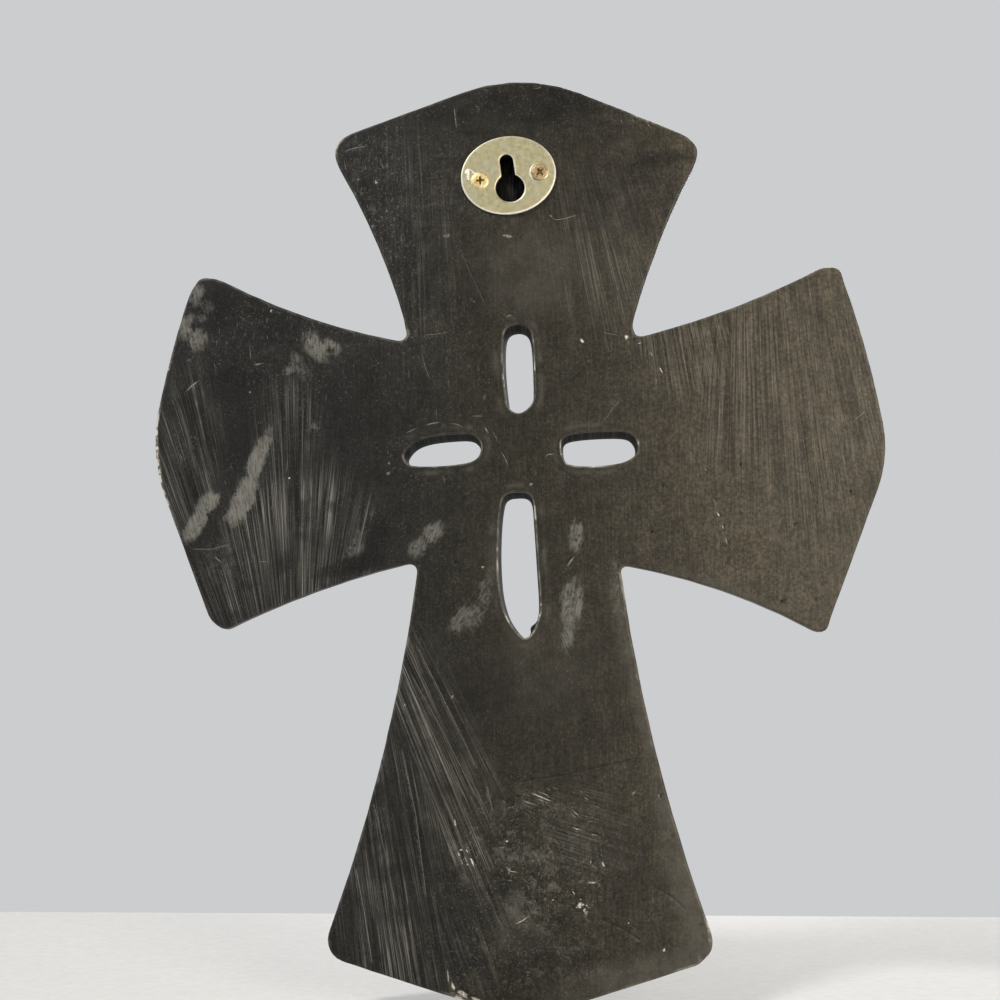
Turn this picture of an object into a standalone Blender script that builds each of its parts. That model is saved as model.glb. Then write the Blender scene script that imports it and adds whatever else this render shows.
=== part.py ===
# Hanging wall cross cast in black resin, with an oval keyhole plate screwed to its back.
# The back of the cross faces -Y, its front faces +Y and its top points to +Z. The origin is on
# the plate's outer face, just above the keyhole, where a wall screw carries the cross.
# Sizes are in millimetres and turned into metres as each mesh is made. Outlines run
# counter-clockwise as the back is seen, with x to the right and z up.
import math

import bmesh
import bpy
from mathutils import Matrix

MM = 0.001

# Clearance between pieces that touch
GAP = 0.3

# Casting, measured through its depth
FIELD_THICKNESS = 9.0        # from the back to the sunk field of the front
RIM_HEIGHT = 2.5             # raised border and slot frames, over the field
RIM_WIDTH = 12.0             # border, from the outer edge to the field
BACK_EDGE_RADIUS = 0.8
SIDE_DEPTH = 3.5             # where the side starts to round over towards the front
BOSS_DIAMETER = 21.0
BOSS_HEIGHT = 4.5            # round boss at the crossing, over the field
FRAME_WIDTH = 3.8            # raised frame round each slot
SLOT_DRAFT = 0.6             # how much narrower a slot is all round at the front
SLOT_EDGE = 0.35             # worn edge of a slot at the back
SHARPEST_CORNER = 0.6        # radius left at a corner of the sunk field

# Outline of the casting. Each limb points away from the crossing at its turn, in degrees from
# +X. A corner is its set-back from the limb's reach, its distance from the limb's centre line
# and its radius. An inner corner is the one after the limb: out, aside and radius. Bows are the
# bulge of the four sides from one inner corner to the next, and a hollow side has a minus.
LIMBS = {
    "right": {"turn": 0, "reach": 119.9, "tip_aside": -3.1, "tip_radius": 41.0,
              "first_corner": (22.6, 60.7, 3.7), "last_corner": (15.2, 62.9, 5.4),
              "inner_corner": (36.0, 36.8, 3.0), "bows": (-3.1, 0.1, 1.8, -2.5)},
    "top": {"turn": 90, "reach": 130.8, "tip_aside": -1.7, "tip_radius": 54.0,
            "first_corner": (27.0, 62.8, 7.9), "last_corner": (24.8, 65.6, 7.9),
            "inner_corner": (36.7, 35.8, 2.6), "bows": (-2.2, 0.1, 0.1, -2.9)},
    "left": {"turn": 180, "reach": 121.9, "tip_aside": 0.6, "tip_radius": 51.0,
             "first_corner": (14.5, 63.3, 8.1), "last_corner": (23.4, 59.8, 6.4),
             "inner_corner": (32.6, 36.0, 2.7), "bows": (-3.4, 1.6, 0.1, -2.2)},
    "bottom": {"turn": 270, "reach": 179.9, "tip_aside": 1.4, "tip_radius": 54.0,
               "first_corner": (19.7, 62.6, 7.0), "last_corner": (19.4, 62.6, 7.6),
               "inner_corner": (37.5, 32.8, 1.8), "bows": (-3.9, 0.1, 0.1, -3.7)},
}

# Slots through the casting, as arcs joined by straight tangents. An arc is the x and z of its
# centre from the crossing, and its radius.
SLOTS = {
    "top": ((-0.2, 38.0, 4.7), (-2.3, 27.5, 3.1), (-0.1, 15.9, 3.6), (-0.9, 18.7, 6.2),
            (1.7, 38.5, 3.0)),
    "left": ((-33.8, -0.4, 4.3), (-30.2, -1.4, 3.9), (-16.8, 0.9, 4.9), (-18.6, 1.7, 4.7)),
    "right": ((17.2, 2.1, 3.6), (18.3, -1.7, 3.4), (30.5, 0.0, 4.9), (33.5, 1.3, 5.1)),
    "bottom": ((-0.8, -18.7, 5.5), (-0.8, -37.5, 6.4), (3.5, -51.3, 8.6), (2.1, -60.0, 1.9),
               (2.3, -54.8, 4.7), (1.3, -17.0, 3.8)),
}

# Keyhole plate, measured about its own centre
PLATE_ASIDE = -3.2           # its centre from the crossing
PLATE_BELOW_TIP = 37.4       # its centre, below the reach of the top limb
PLATE_TILT = 7.5             # degrees, counter-clockwise as the back is seen
PLATE_WIDTH = 32.0
PLATE_HEIGHT = 27.2
PLATE_THICKNESS = 1.0
PLATE_EDGE = 0.35            # rounded edge of the stamping
HEAD_HOLE_DIAMETER = 9.7     # lets the wall screw's head in
HEAD_HOLE_DROP = 4.5         # centre of that hole, below the plate's centre
SHANK_SLOT_WIDTH = 4.5       # holds the wall screw's shank
SHANK_SLOT_RISE = 5.0        # centre of the slot's round end, above the plate's centre
HANGING_MARGIN = 2.5         # the origin, above the end of that slot
POCKET_MARGIN = 1.2          # space round the keyhole in the casting behind it
POCKET_FLOOR = 2.5           # thickness left in front of that space

# Countersunk screws that hold the plate
SCREW_LEFT_ASIDE = 9.6       # from the plate's centre line
SCREW_RIGHT_ASIDE = 10.6
SCREW_DROP = 0.5             # below the plate's centre
SCREW_LENGTH = 8.0
SCREW_HEAD_DIAMETER = 5.6
SCREW_HEAD_DOME = 0.3        # rise of the head above its own rim
SCREW_SHANK_DIAMETER = 2.8
SCREW_POINT_LENGTH = 1.2
RECESS_WIDTH = 2.6           # cross-shaped driver recess
RECESS_SLOT = 0.6
RECESS_DEPTH = 0.9
RECESS_LEFT_TURN = 5.0       # degrees, where each screw stopped turning
RECESS_RIGHT_TURN = 38.0

# How finely curves are cut into straight steps
CORNER_STEPS = 5
SIDE_STEPS = 6
SLOT_STEPS = 5
ELLIPSE_STEPS = 56
HOLE_STEPS = 20
ROUND_STEPS = 24
ROUND_OVER_STEPS = 4
CUT_PAST = 1.0               # how far a cutter runs past the face that it opens
JOIN_DEPTH = 1.0             # how far a raised form reaches into the casting

# Depths in the row frame, where y = 0 is the plate's outer face
BACK_Y = PLATE_THICKNESS + GAP
FIELD_Y = BACK_Y + FIELD_THICKNESS
RIM_Y = FIELD_Y + RIM_HEIGHT


def clear_scene():
    """Remove whatever objects the file holds."""
    for old in list(bpy.data.objects):
        bpy.data.objects.remove(old, do_unlink=True)


# Curves and outlines

def side_circle(start, end, bow):
    """Circle of the side from start to end, with +1 where its centre lies to the left."""
    run = (end[0] - start[0], end[1] - start[1])
    chord = math.hypot(*run)
    radius = (chord * chord / 4 + bow * bow) / (2 * abs(bow))
    side = math.copysign(1, bow)
    shift = side * (radius - abs(bow)) / chord
    middle = ((start[0] + end[0]) / 2, (start[1] + end[1]) / 2)
    return (middle[0] - run[1] * shift, middle[1] + run[0] * shift), radius, side


def meeting_point(centre_a, radius_a, centre_b, radius_b, near):
    """The one of two circles' crossings that is closer to the point near."""
    across = (centre_b[0] - centre_a[0], centre_b[1] - centre_a[1])
    apart = math.hypot(*across)
    along = (radius_a ** 2 - radius_b ** 2 + apart ** 2) / (2 * apart)
    aside = math.sqrt(max(radius_a ** 2 - along ** 2, 0))
    unit = (across[0] / apart, across[1] / apart)
    both = [(centre_a[0] + along * unit[0] - sign * aside * unit[1],
             centre_a[1] + along * unit[1] + sign * aside * unit[0]) for sign in (1, -1)]
    return min(both, key=lambda point: math.dist(point, near))


def arc(centre, radius, start, end, steps):
    """Points of an arc from the direction of start to that of end, by the shorter way round."""
    first = math.atan2(start[1] - centre[1], start[0] - centre[0])
    last = math.atan2(end[1] - centre[1], end[0] - centre[0])
    turn = math.remainder(last - first, math.tau)
    angles = [first + turn * step / steps for step in range(steps + 1)]
    return [(centre[0] + radius * math.cos(a), centre[1] + radius * math.sin(a)) for a in angles]


def limb_point(limb, out, aside):
    """A point given along and across a limb, in the plane of the cross."""
    turn = math.radians(limb["turn"])
    return (out * math.cos(turn) - aside * math.sin(turn),
            out * math.sin(turn) + aside * math.cos(turn))


def outline_corners():
    """The casting's corners, each with its radius and the bow of the side that follows it."""
    corners = []
    limbs = list(LIMBS.values())
    for limb, following in zip(limbs, limbs[1:] + limbs[:1]):
        first_back, first_aside, first_radius = limb["first_corner"]
        last_back, last_aside, last_radius = limb["last_corner"]
        inner_out, inner_aside, inner_radius = limb["inner_corner"]
        places = ((limb["reach"] - first_back, -first_aside, first_radius, limb["bows"][1]),
                  (limb["reach"], limb["tip_aside"], limb["tip_radius"], limb["bows"][2]),
                  (limb["reach"] - last_back, last_aside, last_radius, limb["bows"][3]),
                  (inner_out, inner_aside, inner_radius, following["bows"][0]))
        corners += [(limb_point(limb, out, aside), radius, bow)
                    for out, aside, radius, bow in places]
    return corners


def cross_outline(inset=0.0):
    """The casting's outline, moved inwards, with every corner rounded between its two sides."""
    corners = outline_corners()
    count = len(corners)
    sides = [side_circle(corners[i][0], corners[(i + 1) % count][0], corners[i][2])
             for i in range(count)]
    fillets = []
    for i, (corner, radius, _) in enumerate(corners):
        before, after = sides[i - 1], sides[i]
        heading_in = limb_heading(before, corner)
        heading_out = limb_heading(after, corner)
        outward = heading_in[0] * heading_out[1] > heading_in[1] * heading_out[0]
        size = max(radius - inset, SHARPEST_CORNER) if outward else radius + inset
        reach = inset + size if outward else inset - size
        centre = meeting_point(before[0], before[1] - before[2] * reach,
                               after[0], after[1] - after[2] * reach, corner)
        fillets.append((centre, size, touch_point(centre, before, inset),
                        touch_point(centre, after, inset)))
    points = []
    for i, (centre, size, start, end) in enumerate(fillets):
        points += arc(centre, size, start, end, CORNER_STEPS)
        side_centre, side_radius, side_sign = sides[i]
        next_start = fillets[(i + 1) % count][2]
        points += arc(side_centre, side_radius - side_sign * inset, end, next_start,
                      SIDE_STEPS)[1:-1]
    return points


def limb_heading(side, corner):
    """Direction of travel along a side at a corner."""
    centre, _, sign = side
    return (-(corner[1] - centre[1]) * sign, (corner[0] - centre[0]) * sign)


def touch_point(centre, side, inset):
    """Where a fillet about centre touches a side that has moved inwards."""
    side_centre, radius, sign = side
    share = (radius - sign * inset) / math.dist(centre, side_centre)
    return (side_centre[0] + (centre[0] - side_centre[0]) * share,
            side_centre[1] + (centre[1] - side_centre[1]) * share)


def slot_outline(arcs, grow):
    """A slot's outline, made larger all round by grow."""
    normals = []
    for (x1, z1, r1), (x2, z2, r2) in zip(arcs, arcs[1:] + arcs[:1]):
        lean = math.acos((r1 - r2) / math.hypot(x2 - x1, z2 - z1))
        normals.append(math.atan2(z2 - z1, x2 - x1) - lean)
    points = []
    for i, (x, z, radius) in enumerate(arcs):
        turn = math.remainder(normals[i] - normals[i - 1], math.tau)
        for step in range(SLOT_STEPS + 1):
            angle = normals[i - 1] + turn * step / SLOT_STEPS
            points.append((x + (radius + grow) * math.cos(angle),
                           z + (radius + grow) * math.sin(angle)))
    return points


def ellipse(width, height, steps):
    """An ellipse about the centre, or a circle where both sizes are the same."""
    angles = [math.tau * step / steps for step in range(steps)]
    return [(width / 2 * math.cos(a), height / 2 * math.sin(a)) for a in angles]


def keyhole_outline(grow):
    """Keyhole about the plate's centre: a round hole with a slot rising from it."""
    hole = HEAD_HOLE_DIAMETER / 2 + grow
    slot = SHANK_SLOT_WIDTH / 2 + grow
    neck = math.asin(slot / hole)
    start = math.pi / 2 + neck
    sweep = math.tau - 2 * neck
    points = []
    for step in range(HOLE_STEPS + 1):
        angle = start + sweep * step / HOLE_STEPS
        points.append((hole * math.cos(angle), hole * math.sin(angle) - HEAD_HOLE_DROP))
    for step in range(HOLE_STEPS // 2 + 1):
        angle = math.pi * 2 * step / HOLE_STEPS
        points.append((slot * math.cos(angle), slot * math.sin(angle) + SHANK_SLOT_RISE))
    return points


def pocket_outline():
    """Round-ended space behind the keyhole, as wide as its hole and as tall as the keyhole."""
    half = HEAD_HOLE_DIAMETER / 2 + POCKET_MARGIN
    low = -HEAD_HOLE_DROP
    high = SHANK_SLOT_RISE + SHANK_SLOT_WIDTH / 2 + POCKET_MARGIN - half
    points = []
    for middle, start in ((high, 0.0), (low, math.pi)):
        for step in range(HOLE_STEPS // 2 + 1):
            angle = start + math.pi * 2 * step / HOLE_STEPS
            points.append((half * math.cos(angle), middle + half * math.sin(angle)))
    return points


def driver_cross(width, slot):
    """Outline of a cross-shaped recess."""
    long, short = width / 2, slot / 2
    quarter = ((long, -short), (long, short), (short, short))
    points = []
    for turn in range(4):
        cos, sin = round(math.cos(turn * math.pi / 2)), round(math.sin(turn * math.pi / 2))
        points += [(x * cos - z * sin, x * sin + z * cos) for x, z in quarter]
    return points


# Solids and cutters

def loft(name, rings):
    """A closed solid through rings of equally many points, each with its depth y."""
    mesh = bpy.data.meshes.new(name)
    bm = bmesh.new()
    loops = [[bm.verts.new((x * MM, y * MM, z * MM)) for x, z in ring] for ring, y in rings]
    for back, front in zip(loops, loops[1:]):
        for i in range(len(back)):
            after = (i + 1) % len(back)
            bm.faces.new((back[i], front[i], front[after], back[after]))
    bm.faces.new(loops[0])
    bm.faces.new(reversed(loops[-1]))
    bm.to_mesh(mesh)
    bm.free()
    mesh.shade_smooth()
    mesh.set_sharp_from_angle(angle=math.radians(35))
    made = bpy.data.objects.new(name, mesh)
    bpy.context.scene.collection.objects.link(made)
    return made


def helper(name, rings, parent):
    """A solid that only cuts or joins another, and is no piece of its own."""
    made = loft(name, rings)
    made.parent = parent
    made.hide_render = True
    made.display_type = "WIRE"
    return made


def combine(target, tool, operation):
    """Join a helper to a piece, or cut it away."""
    modifier = target.modifiers.new(tool.name, "BOOLEAN")
    modifier.operation = operation
    modifier.solver = "EXACT"
    modifier.object = tool


def empty(name, x, z, tilt=0.0):
    """A reference point in the plane y = 0, turned counter-clockwise as the back is seen."""
    made = bpy.data.objects.new(name, None)
    bpy.context.scene.collection.objects.link(made)
    turn = Matrix.Rotation(-math.radians(tilt), 4, "Y")
    made.matrix_world = Matrix.Translation((x * MM, 0.0, z * MM)) @ turn
    return made


def material(name, color, roughness, metallic):
    """A plain surface of one colour."""
    made = bpy.data.materials.new(name)
    made.use_nodes = True
    shader = made.node_tree.nodes["Principled BSDF"]
    shader.inputs["Base Color"].default_value = (*color, 1.0)
    shader.inputs["Roughness"].default_value = roughness
    shader.inputs["Metallic"].default_value = metallic
    return made


def quarter_turn(steps):
    """Sines and cosines along a quarter of a circle, from its side to its crown."""
    angles = [math.pi / 2 * step / steps for step in range(steps + 1)]
    return [(math.sin(a), math.cos(a)) for a in angles]


# The casting

def casting_rings():
    """Outlines of the casting from its back face, over its border, to its sunk field."""
    rings = [(cross_outline(BACK_EDGE_RADIUS * (1 - sine)), BACK_Y + BACK_EDGE_RADIUS * (1 - cosine))
             for sine, cosine in quarter_turn(2)]
    crown = RIM_WIDTH * 0.6
    for sine, cosine in quarter_turn(ROUND_OVER_STEPS):
        depth = BACK_Y + SIDE_DEPTH + (RIM_Y - BACK_Y - SIDE_DEPTH) * sine
        rings.append((cross_outline(crown * (1 - cosine)), depth))
    for share in (0.35, 0.75, 1.0):
        fall = RIM_HEIGHT * (1 - math.cos(math.pi * share)) / 2
        rings.append((cross_outline(crown + (RIM_WIDTH - crown) * share), RIM_Y - fall))
    return rings


def frame_rings(arcs):
    """Raised frame round a slot, solid until the slot is cut through it."""
    rings = [(slot_outline(arcs, FRAME_WIDTH), FIELD_Y - JOIN_DEPTH)]
    for sine, cosine in quarter_turn(3):
        rings.append((slot_outline(arcs, FRAME_WIDTH * (0.3 + 0.7 * cosine)),
                      FIELD_Y + RIM_HEIGHT * sine))
    return rings


def slot_rings(arcs):
    """Cutter of a slot: a worn edge at the back, then a slight draft to the front."""
    edge_slope = 2 * SLOT_EDGE
    past = SLOT_EDGE * (1 + CUT_PAST / edge_slope)
    return [(slot_outline(arcs, past), BACK_Y - CUT_PAST),
            (slot_outline(arcs, 0.0), BACK_Y + edge_slope),
            (slot_outline(arcs, -SLOT_DRAFT), RIM_Y + CUT_PAST)]


def boss_rings():
    """Round boss at the crossing: a shallow dome with a small flat crown."""
    rings = [(ellipse(BOSS_DIAMETER, BOSS_DIAMETER, ROUND_STEPS), FIELD_Y - JOIN_DEPTH)]
    for sine, cosine in quarter_turn(5)[:-1]:
        size = BOSS_DIAMETER * cosine
        rings.append((ellipse(size, size, ROUND_STEPS), FIELD_Y + BOSS_HEIGHT * sine))
    return rings


def make_casting(crossing, hanger):
    """The cross itself, with its slots and the holes behind the plate."""
    body = loft("cross_body", casting_rings())
    body.parent = crossing
    for name, arcs in SLOTS.items():
        combine(body, helper(f"frame_{name}", frame_rings(arcs), crossing), "UNION")
    combine(body, helper("boss", boss_rings(), crossing), "UNION")
    for name, arcs in SLOTS.items():
        combine(body, helper(f"slot_{name}", slot_rings(arcs), crossing), "DIFFERENCE")
    pocket = [(pocket_outline(), BACK_Y - CUT_PAST), (pocket_outline(), FIELD_Y - POCKET_FLOOR)]
    combine(body, helper("pocket", pocket, hanger), "DIFFERENCE")
    body.data.materials.append(material("black_resin", (0.028, 0.025, 0.021), 0.48, 0.0))
    return body


# The hanger

def plate_rings():
    """Oval plate with a rounded outer edge."""
    rings = []
    for sine, cosine in quarter_turn(2):
        inset = 2 * PLATE_EDGE * (1 - sine)
        outline = ellipse(PLATE_WIDTH - inset, PLATE_HEIGHT - inset, ELLIPSE_STEPS)
        rings.append((outline, PLATE_EDGE * (1 - cosine)))
    rings.append((ellipse(PLATE_WIDTH, PLATE_HEIGHT, ELLIPSE_STEPS), PLATE_THICKNESS))
    return rings


def keyhole_rings():
    """Cutter of the keyhole, with a bevelled edge on the plate's outer face."""
    past = PLATE_EDGE + CUT_PAST
    return [(keyhole_outline(past), -CUT_PAST),
            (keyhole_outline(0.0), PLATE_EDGE),
            (keyhole_outline(0.0), PLATE_THICKNESS + CUT_PAST)]


def make_plate(hanger):
    """Stamped plate with its keyhole."""
    plate = loft("hanger_plate", plate_rings())
    plate.parent = hanger
    combine(plate, helper("keyhole", keyhole_rings(), hanger), "DIFFERENCE")
    plate.data.materials.append(material("pale_brass", (0.47, 0.44, 0.27), 0.38, 1.0))
    return plate


def screw_profile():
    """Radius and depth along a screw, from the crown of its head to its point."""
    head = SCREW_HEAD_DIAMETER / 2
    shank = SCREW_SHANK_DIAMETER / 2
    neck = SCREW_HEAD_DOME + head - shank
    crown = [(head * math.sin(math.pi / 2 * share), SCREW_HEAD_DOME * (1 - math.cos(math.pi / 2 * share)))
             for share in (0.3, 0.7, 1.0)]
    return crown + [(shank, neck), (shank, SCREW_LENGTH - SCREW_POINT_LENGTH), (0.25, SCREW_LENGTH)]


def clearance_profile():
    """Hole for a screw: its cone and shank grown by the gap, open past the plate's face."""
    head = SCREW_HEAD_DIAMETER / 2
    shank = SCREW_SHANK_DIAMETER / 2
    neck = SCREW_HEAD_DOME + head - shank
    mouth = head + SCREW_HEAD_DOME + GAP * math.sqrt(2)
    return [(mouth + CUT_PAST, -CUT_PAST), (shank + GAP, neck + GAP * (math.sqrt(2) - 1)),
            (shank + GAP, SCREW_LENGTH + GAP)]


def turned_rings(profile):
    """Round rings from radii and depths."""
    return [(ellipse(2 * radius, 2 * radius, ROUND_STEPS), depth) for radius, depth in profile]


def make_screw(side, aside, turn, hanger, plate, body):
    """Countersunk screw with a driver recess, and its holes in the plate and the casting."""
    holder = empty(f"screw_place_{side}", 0.0, 0.0)
    holder.parent = hanger
    holder.location = (aside * MM, 0.0, -SCREW_DROP * MM)
    hole = helper(f"screw_hole_{side}", turned_rings(clearance_profile()), holder)
    combine(plate, hole, "DIFFERENCE")
    combine(body, hole, "DIFFERENCE")
    screw = loft(f"hanger_screw_{side}", turned_rings(screw_profile()))
    screw.parent = holder
    recess = helper(f"recess_{side}", [
        (driver_cross(RECESS_WIDTH, RECESS_SLOT), -CUT_PAST),
        (driver_cross(RECESS_WIDTH * 0.6, RECESS_SLOT * 0.7), RECESS_DEPTH)], holder)
    recess.rotation_euler.y = -math.radians(turn - PLATE_TILT)
    combine(screw, recess, "DIFFERENCE")
    return screw


def build():
    """Make every piece, with the origin on the plate above its keyhole."""
    clear_scene()
    origin_up = SHANK_SLOT_RISE + SHANK_SLOT_WIDTH / 2 + HANGING_MARGIN
    tilt = math.radians(PLATE_TILT)
    plate_x = origin_up * math.sin(tilt)
    plate_z = -origin_up * math.cos(tilt)
    plate_up = LIMBS["top"]["reach"] - PLATE_BELOW_TIP
    crossing = empty("crossing", plate_x - PLATE_ASIDE, plate_z - plate_up)
    hanger = empty("hanger", plate_x, plate_z, PLATE_TILT)
    body = make_casting(crossing, hanger)
    plate = make_plate(hanger)
    left = make_screw("left", -SCREW_LEFT_ASIDE, RECESS_LEFT_TURN, hanger, plate, body)
    left.data.materials.append(material("bright_brass", (0.86, 0.69, 0.35), 0.3, 1.0))
    right = make_screw("right", SCREW_RIGHT_ASIDE, RECESS_RIGHT_TURN, hanger, plate, body)
    right.data.materials.append(material("dull_brass", (0.42, 0.3, 0.15), 0.45, 1.0))


build()
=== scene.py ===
# Black resin wall cross, seen from its back, with the oval keyhole plate and screws that hang it
import math
import random

import bmesh
import bpy
import numpy as np
from mathutils import Matrix, Vector
from mathutils.geometry import delaunay_2d_cdt
from mathutils.kdtree import KDTree


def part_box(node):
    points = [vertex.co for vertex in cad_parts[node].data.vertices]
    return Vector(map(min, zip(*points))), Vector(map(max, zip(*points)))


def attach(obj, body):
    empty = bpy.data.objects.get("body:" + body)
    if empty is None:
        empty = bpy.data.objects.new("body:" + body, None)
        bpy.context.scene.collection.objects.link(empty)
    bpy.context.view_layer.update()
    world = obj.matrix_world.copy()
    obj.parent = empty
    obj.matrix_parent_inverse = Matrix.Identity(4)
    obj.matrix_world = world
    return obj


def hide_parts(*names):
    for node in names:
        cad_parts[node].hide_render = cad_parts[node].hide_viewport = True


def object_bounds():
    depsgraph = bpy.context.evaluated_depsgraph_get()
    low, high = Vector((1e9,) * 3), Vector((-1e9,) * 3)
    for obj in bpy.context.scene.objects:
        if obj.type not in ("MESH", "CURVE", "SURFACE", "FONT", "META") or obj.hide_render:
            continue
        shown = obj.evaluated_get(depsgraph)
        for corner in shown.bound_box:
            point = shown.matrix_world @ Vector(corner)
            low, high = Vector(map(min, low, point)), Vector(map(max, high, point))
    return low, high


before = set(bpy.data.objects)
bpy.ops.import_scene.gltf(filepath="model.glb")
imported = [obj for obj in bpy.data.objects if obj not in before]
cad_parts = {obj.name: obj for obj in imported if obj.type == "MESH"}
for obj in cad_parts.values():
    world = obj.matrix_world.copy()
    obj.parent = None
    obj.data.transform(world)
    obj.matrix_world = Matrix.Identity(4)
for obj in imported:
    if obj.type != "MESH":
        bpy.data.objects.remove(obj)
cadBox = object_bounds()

mm = 0.001                          # lengths below are in mm, and the scene is in metres
pixelSize = 0.322                   # mm covered by one pixel of the photograph on the casting


# Camera, first, because marks are placed by where the photograph shows them

photoView = {
    "place": (23.6, -513.4, -193.4),  # in the frame of the part
    "pitch": 8.18,                    # degrees, looking up
    "yaw": 2.80,                      # degrees, looking left
    "lens": 57.6,
    "sensor": 36.0,
    "frameSide": 1000,                # pixels
}


def cameraTurn():
    return Matrix.Rotation(math.radians(photoView["yaw"]), 3, "Z") @ Matrix.Rotation(
        math.radians(90 + photoView["pitch"]), 3, "X")


def makeCamera():
    data = bpy.data.cameras.new("photoCamera")
    data.lens = photoView["lens"]
    data.sensor_width = photoView["sensor"]
    data.clip_start = 0.01
    data.clip_end = 20
    camera = bpy.data.objects.new("photoCamera", data)
    camera.location = Vector(photoView["place"]) * mm
    camera.rotation_euler = cameraTurn().to_euler()
    bpy.context.scene.collection.objects.link(camera)
    bpy.context.scene.camera = camera


def onPlane(pixel, depth):
    # where a pixel of the photograph falls on an upright plane, as x and z
    half = photoView["frameSide"] / 2
    spread = photoView["sensor"] / photoView["lens"] / photoView["frameSide"]
    ray = cameraTurn() @ Vector(((pixel[0] - half) * spread, (half - pixel[1]) * spread, -1))
    start = Vector(photoView["place"])
    reach = (depth - start.y) / ray.y
    return (start.x + ray.x * reach, start.z + ray.z * reach)


# Small tools for outlines, all on arrays of x and z

def softStep(value, low, high):
    share = np.clip((value - low) / (high - low), 0, 1)
    return share * share * (3 - 2 * share)


def lengthsOf(rows):
    return np.linalg.norm(rows, axis=1)


def turned(points, degrees):
    turn = math.radians(degrees)
    x, z = points[:, 0], points[:, 1]
    return np.column_stack([x * math.cos(turn) - z * math.sin(turn),
                            x * math.sin(turn) + z * math.cos(turn)])


def middleOf(node):
    # x and z of the middle of a node of the frame
    low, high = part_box(node)
    middle = (low + high) / 2 / mm
    return np.array([middle.x, middle.z])


def softNoise(points, size, seed):
    # smooth random field from -1 to 1, with lumps of the given size
    count = int(900 / size) + 3
    grid = np.random.default_rng(seed).uniform(-1, 1, (count, count))
    at = (np.asarray(points) + 450) / size
    cell = np.clip(np.floor(at).astype(int), 0, count - 2)
    part = at - cell
    part = part * part * (3 - 2 * part)
    i, j = cell[:, 0], cell[:, 1]
    low = grid[i, j] * (1 - part[:, 0]) + grid[i + 1, j] * part[:, 0]
    high = grid[i, j + 1] * (1 - part[:, 0]) + grid[i + 1, j + 1] * part[:, 0]
    return low * (1 - part[:, 1]) + high * part[:, 1]


def sectionLoops(node, depth):
    # closed outlines of a solid where an upright plane cuts it, largest first
    cut = bmesh.new()
    cut.from_mesh(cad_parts[node].data)
    bmesh.ops.remove_doubles(cut, verts=cut.verts, dist=1e-7)
    found = bmesh.ops.bisect_plane(cut, geom=cut.verts[:] + cut.edges[:] + cut.faces[:],
                                   plane_co=(0, depth * mm, 0), plane_no=(0, 1, 0), dist=1e-9)
    edges = [e for e in found["geom_cut"] if isinstance(e, bmesh.types.BMEdge)]
    touching = {}
    for edge in edges:
        for vert in edge.verts:
            touching.setdefault(vert, []).append(edge)
    unused = dict.fromkeys(edges)
    loops = []
    while unused:
        edge = next(iter(unused))
        vert = edge.verts[0]
        loop = []
        while edge is not None:
            del unused[edge]
            loop.append((vert.co.x / mm, vert.co.z / mm))
            vert = edge.other_vert(vert)
            edge = next((e for e in touching[vert] if e in unused), None)
        loops.append(counterClockwise(np.array(loop)))
    cut.free()
    return sorted(loops, key=loopArea, reverse=True)


def loopArea(loop):
    after = np.roll(loop, -1, 0)
    return abs((loop[:, 0] * after[:, 1] - after[:, 0] * loop[:, 1]).sum()) / 2


def counterClockwise(loop):
    after = np.roll(loop, -1, 0)
    area = (loop[:, 0] * after[:, 1] - after[:, 0] * loop[:, 1]).sum()
    return loop if area > 0 else loop[::-1]


def curveThrough(corners, step):
    # smooth closed outline through a few points
    corners = counterClockwise(np.array(corners))
    share = np.linspace(0, 1, 12, endpoint=False)[:, None]
    before, after, second = (np.roll(corners, shift, 0) for shift in (1, -1, -2))
    pieces = []
    for a, b, c, d in zip(before, corners, after, second):
        pieces.append(b + 0.5 * share * (c - a + share * (2 * a - 5 * b + 4 * c - d
                                                          + share * (3 * (b - c) + d - a))))
    return smoothLoop(np.vstack(pieces), step, 0.45)


def evenLoop(loop, step):
    # the same closed outline with points at an even step
    closed = np.vstack([loop, loop[:1]])
    along = np.concatenate([[0], np.cumsum(lengthsOf(np.diff(closed, axis=0)))])
    count = max(int(round(along[-1] / step)), 8)
    at = np.linspace(0, along[-1], count, endpoint=False)
    return np.column_stack([np.interp(at, along, closed[:, axis]) for axis in (0, 1)])


def smoothLoop(loop, step, blur):
    # rounds off the straight facets of an outline and keeps its size
    fine = evenLoop(loop, 0.3)
    turns = np.fft.fftfreq(len(fine), 0.3)
    soft = np.exp(-0.5 * (2 * math.pi * turns * blur) ** 2)
    keep = soft * (2 - soft)                       # puts back what the blur pulls in
    waves = np.fft.fft(fine[:, 0] + 1j * fine[:, 1]) * keep
    smooth = np.fft.ifft(waves)
    return evenLoop(np.column_stack([smooth.real, smooth.imag]), step)


def outward(loop):
    # unit normals that point away from the inside of a counter-clockwise outline
    run = np.roll(loop, -1, 0) - np.roll(loop, 1, 0)
    run /= lengthsOf(run)[:, None]
    return np.column_stack([run[:, 1], -run[:, 0]])


def fromLine(points, line):
    # shortest distance from each point to an open line of a few points
    best = np.full(len(points), 1e9)
    for start, end in zip(line, line[1:]):
        run = end - start
        share = np.clip(((points - start) @ run) / max(run @ run, 1e-12), 0, 1)
        best = np.minimum(best, lengthsOf(points - start - share[:, None] * run))
    return best


def nearestTree(points):
    tree = KDTree(len(points))
    for i, (x, z) in enumerate(points):
        tree.insert((x, z, 0), i)
    tree.balance()
    return tree


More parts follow.
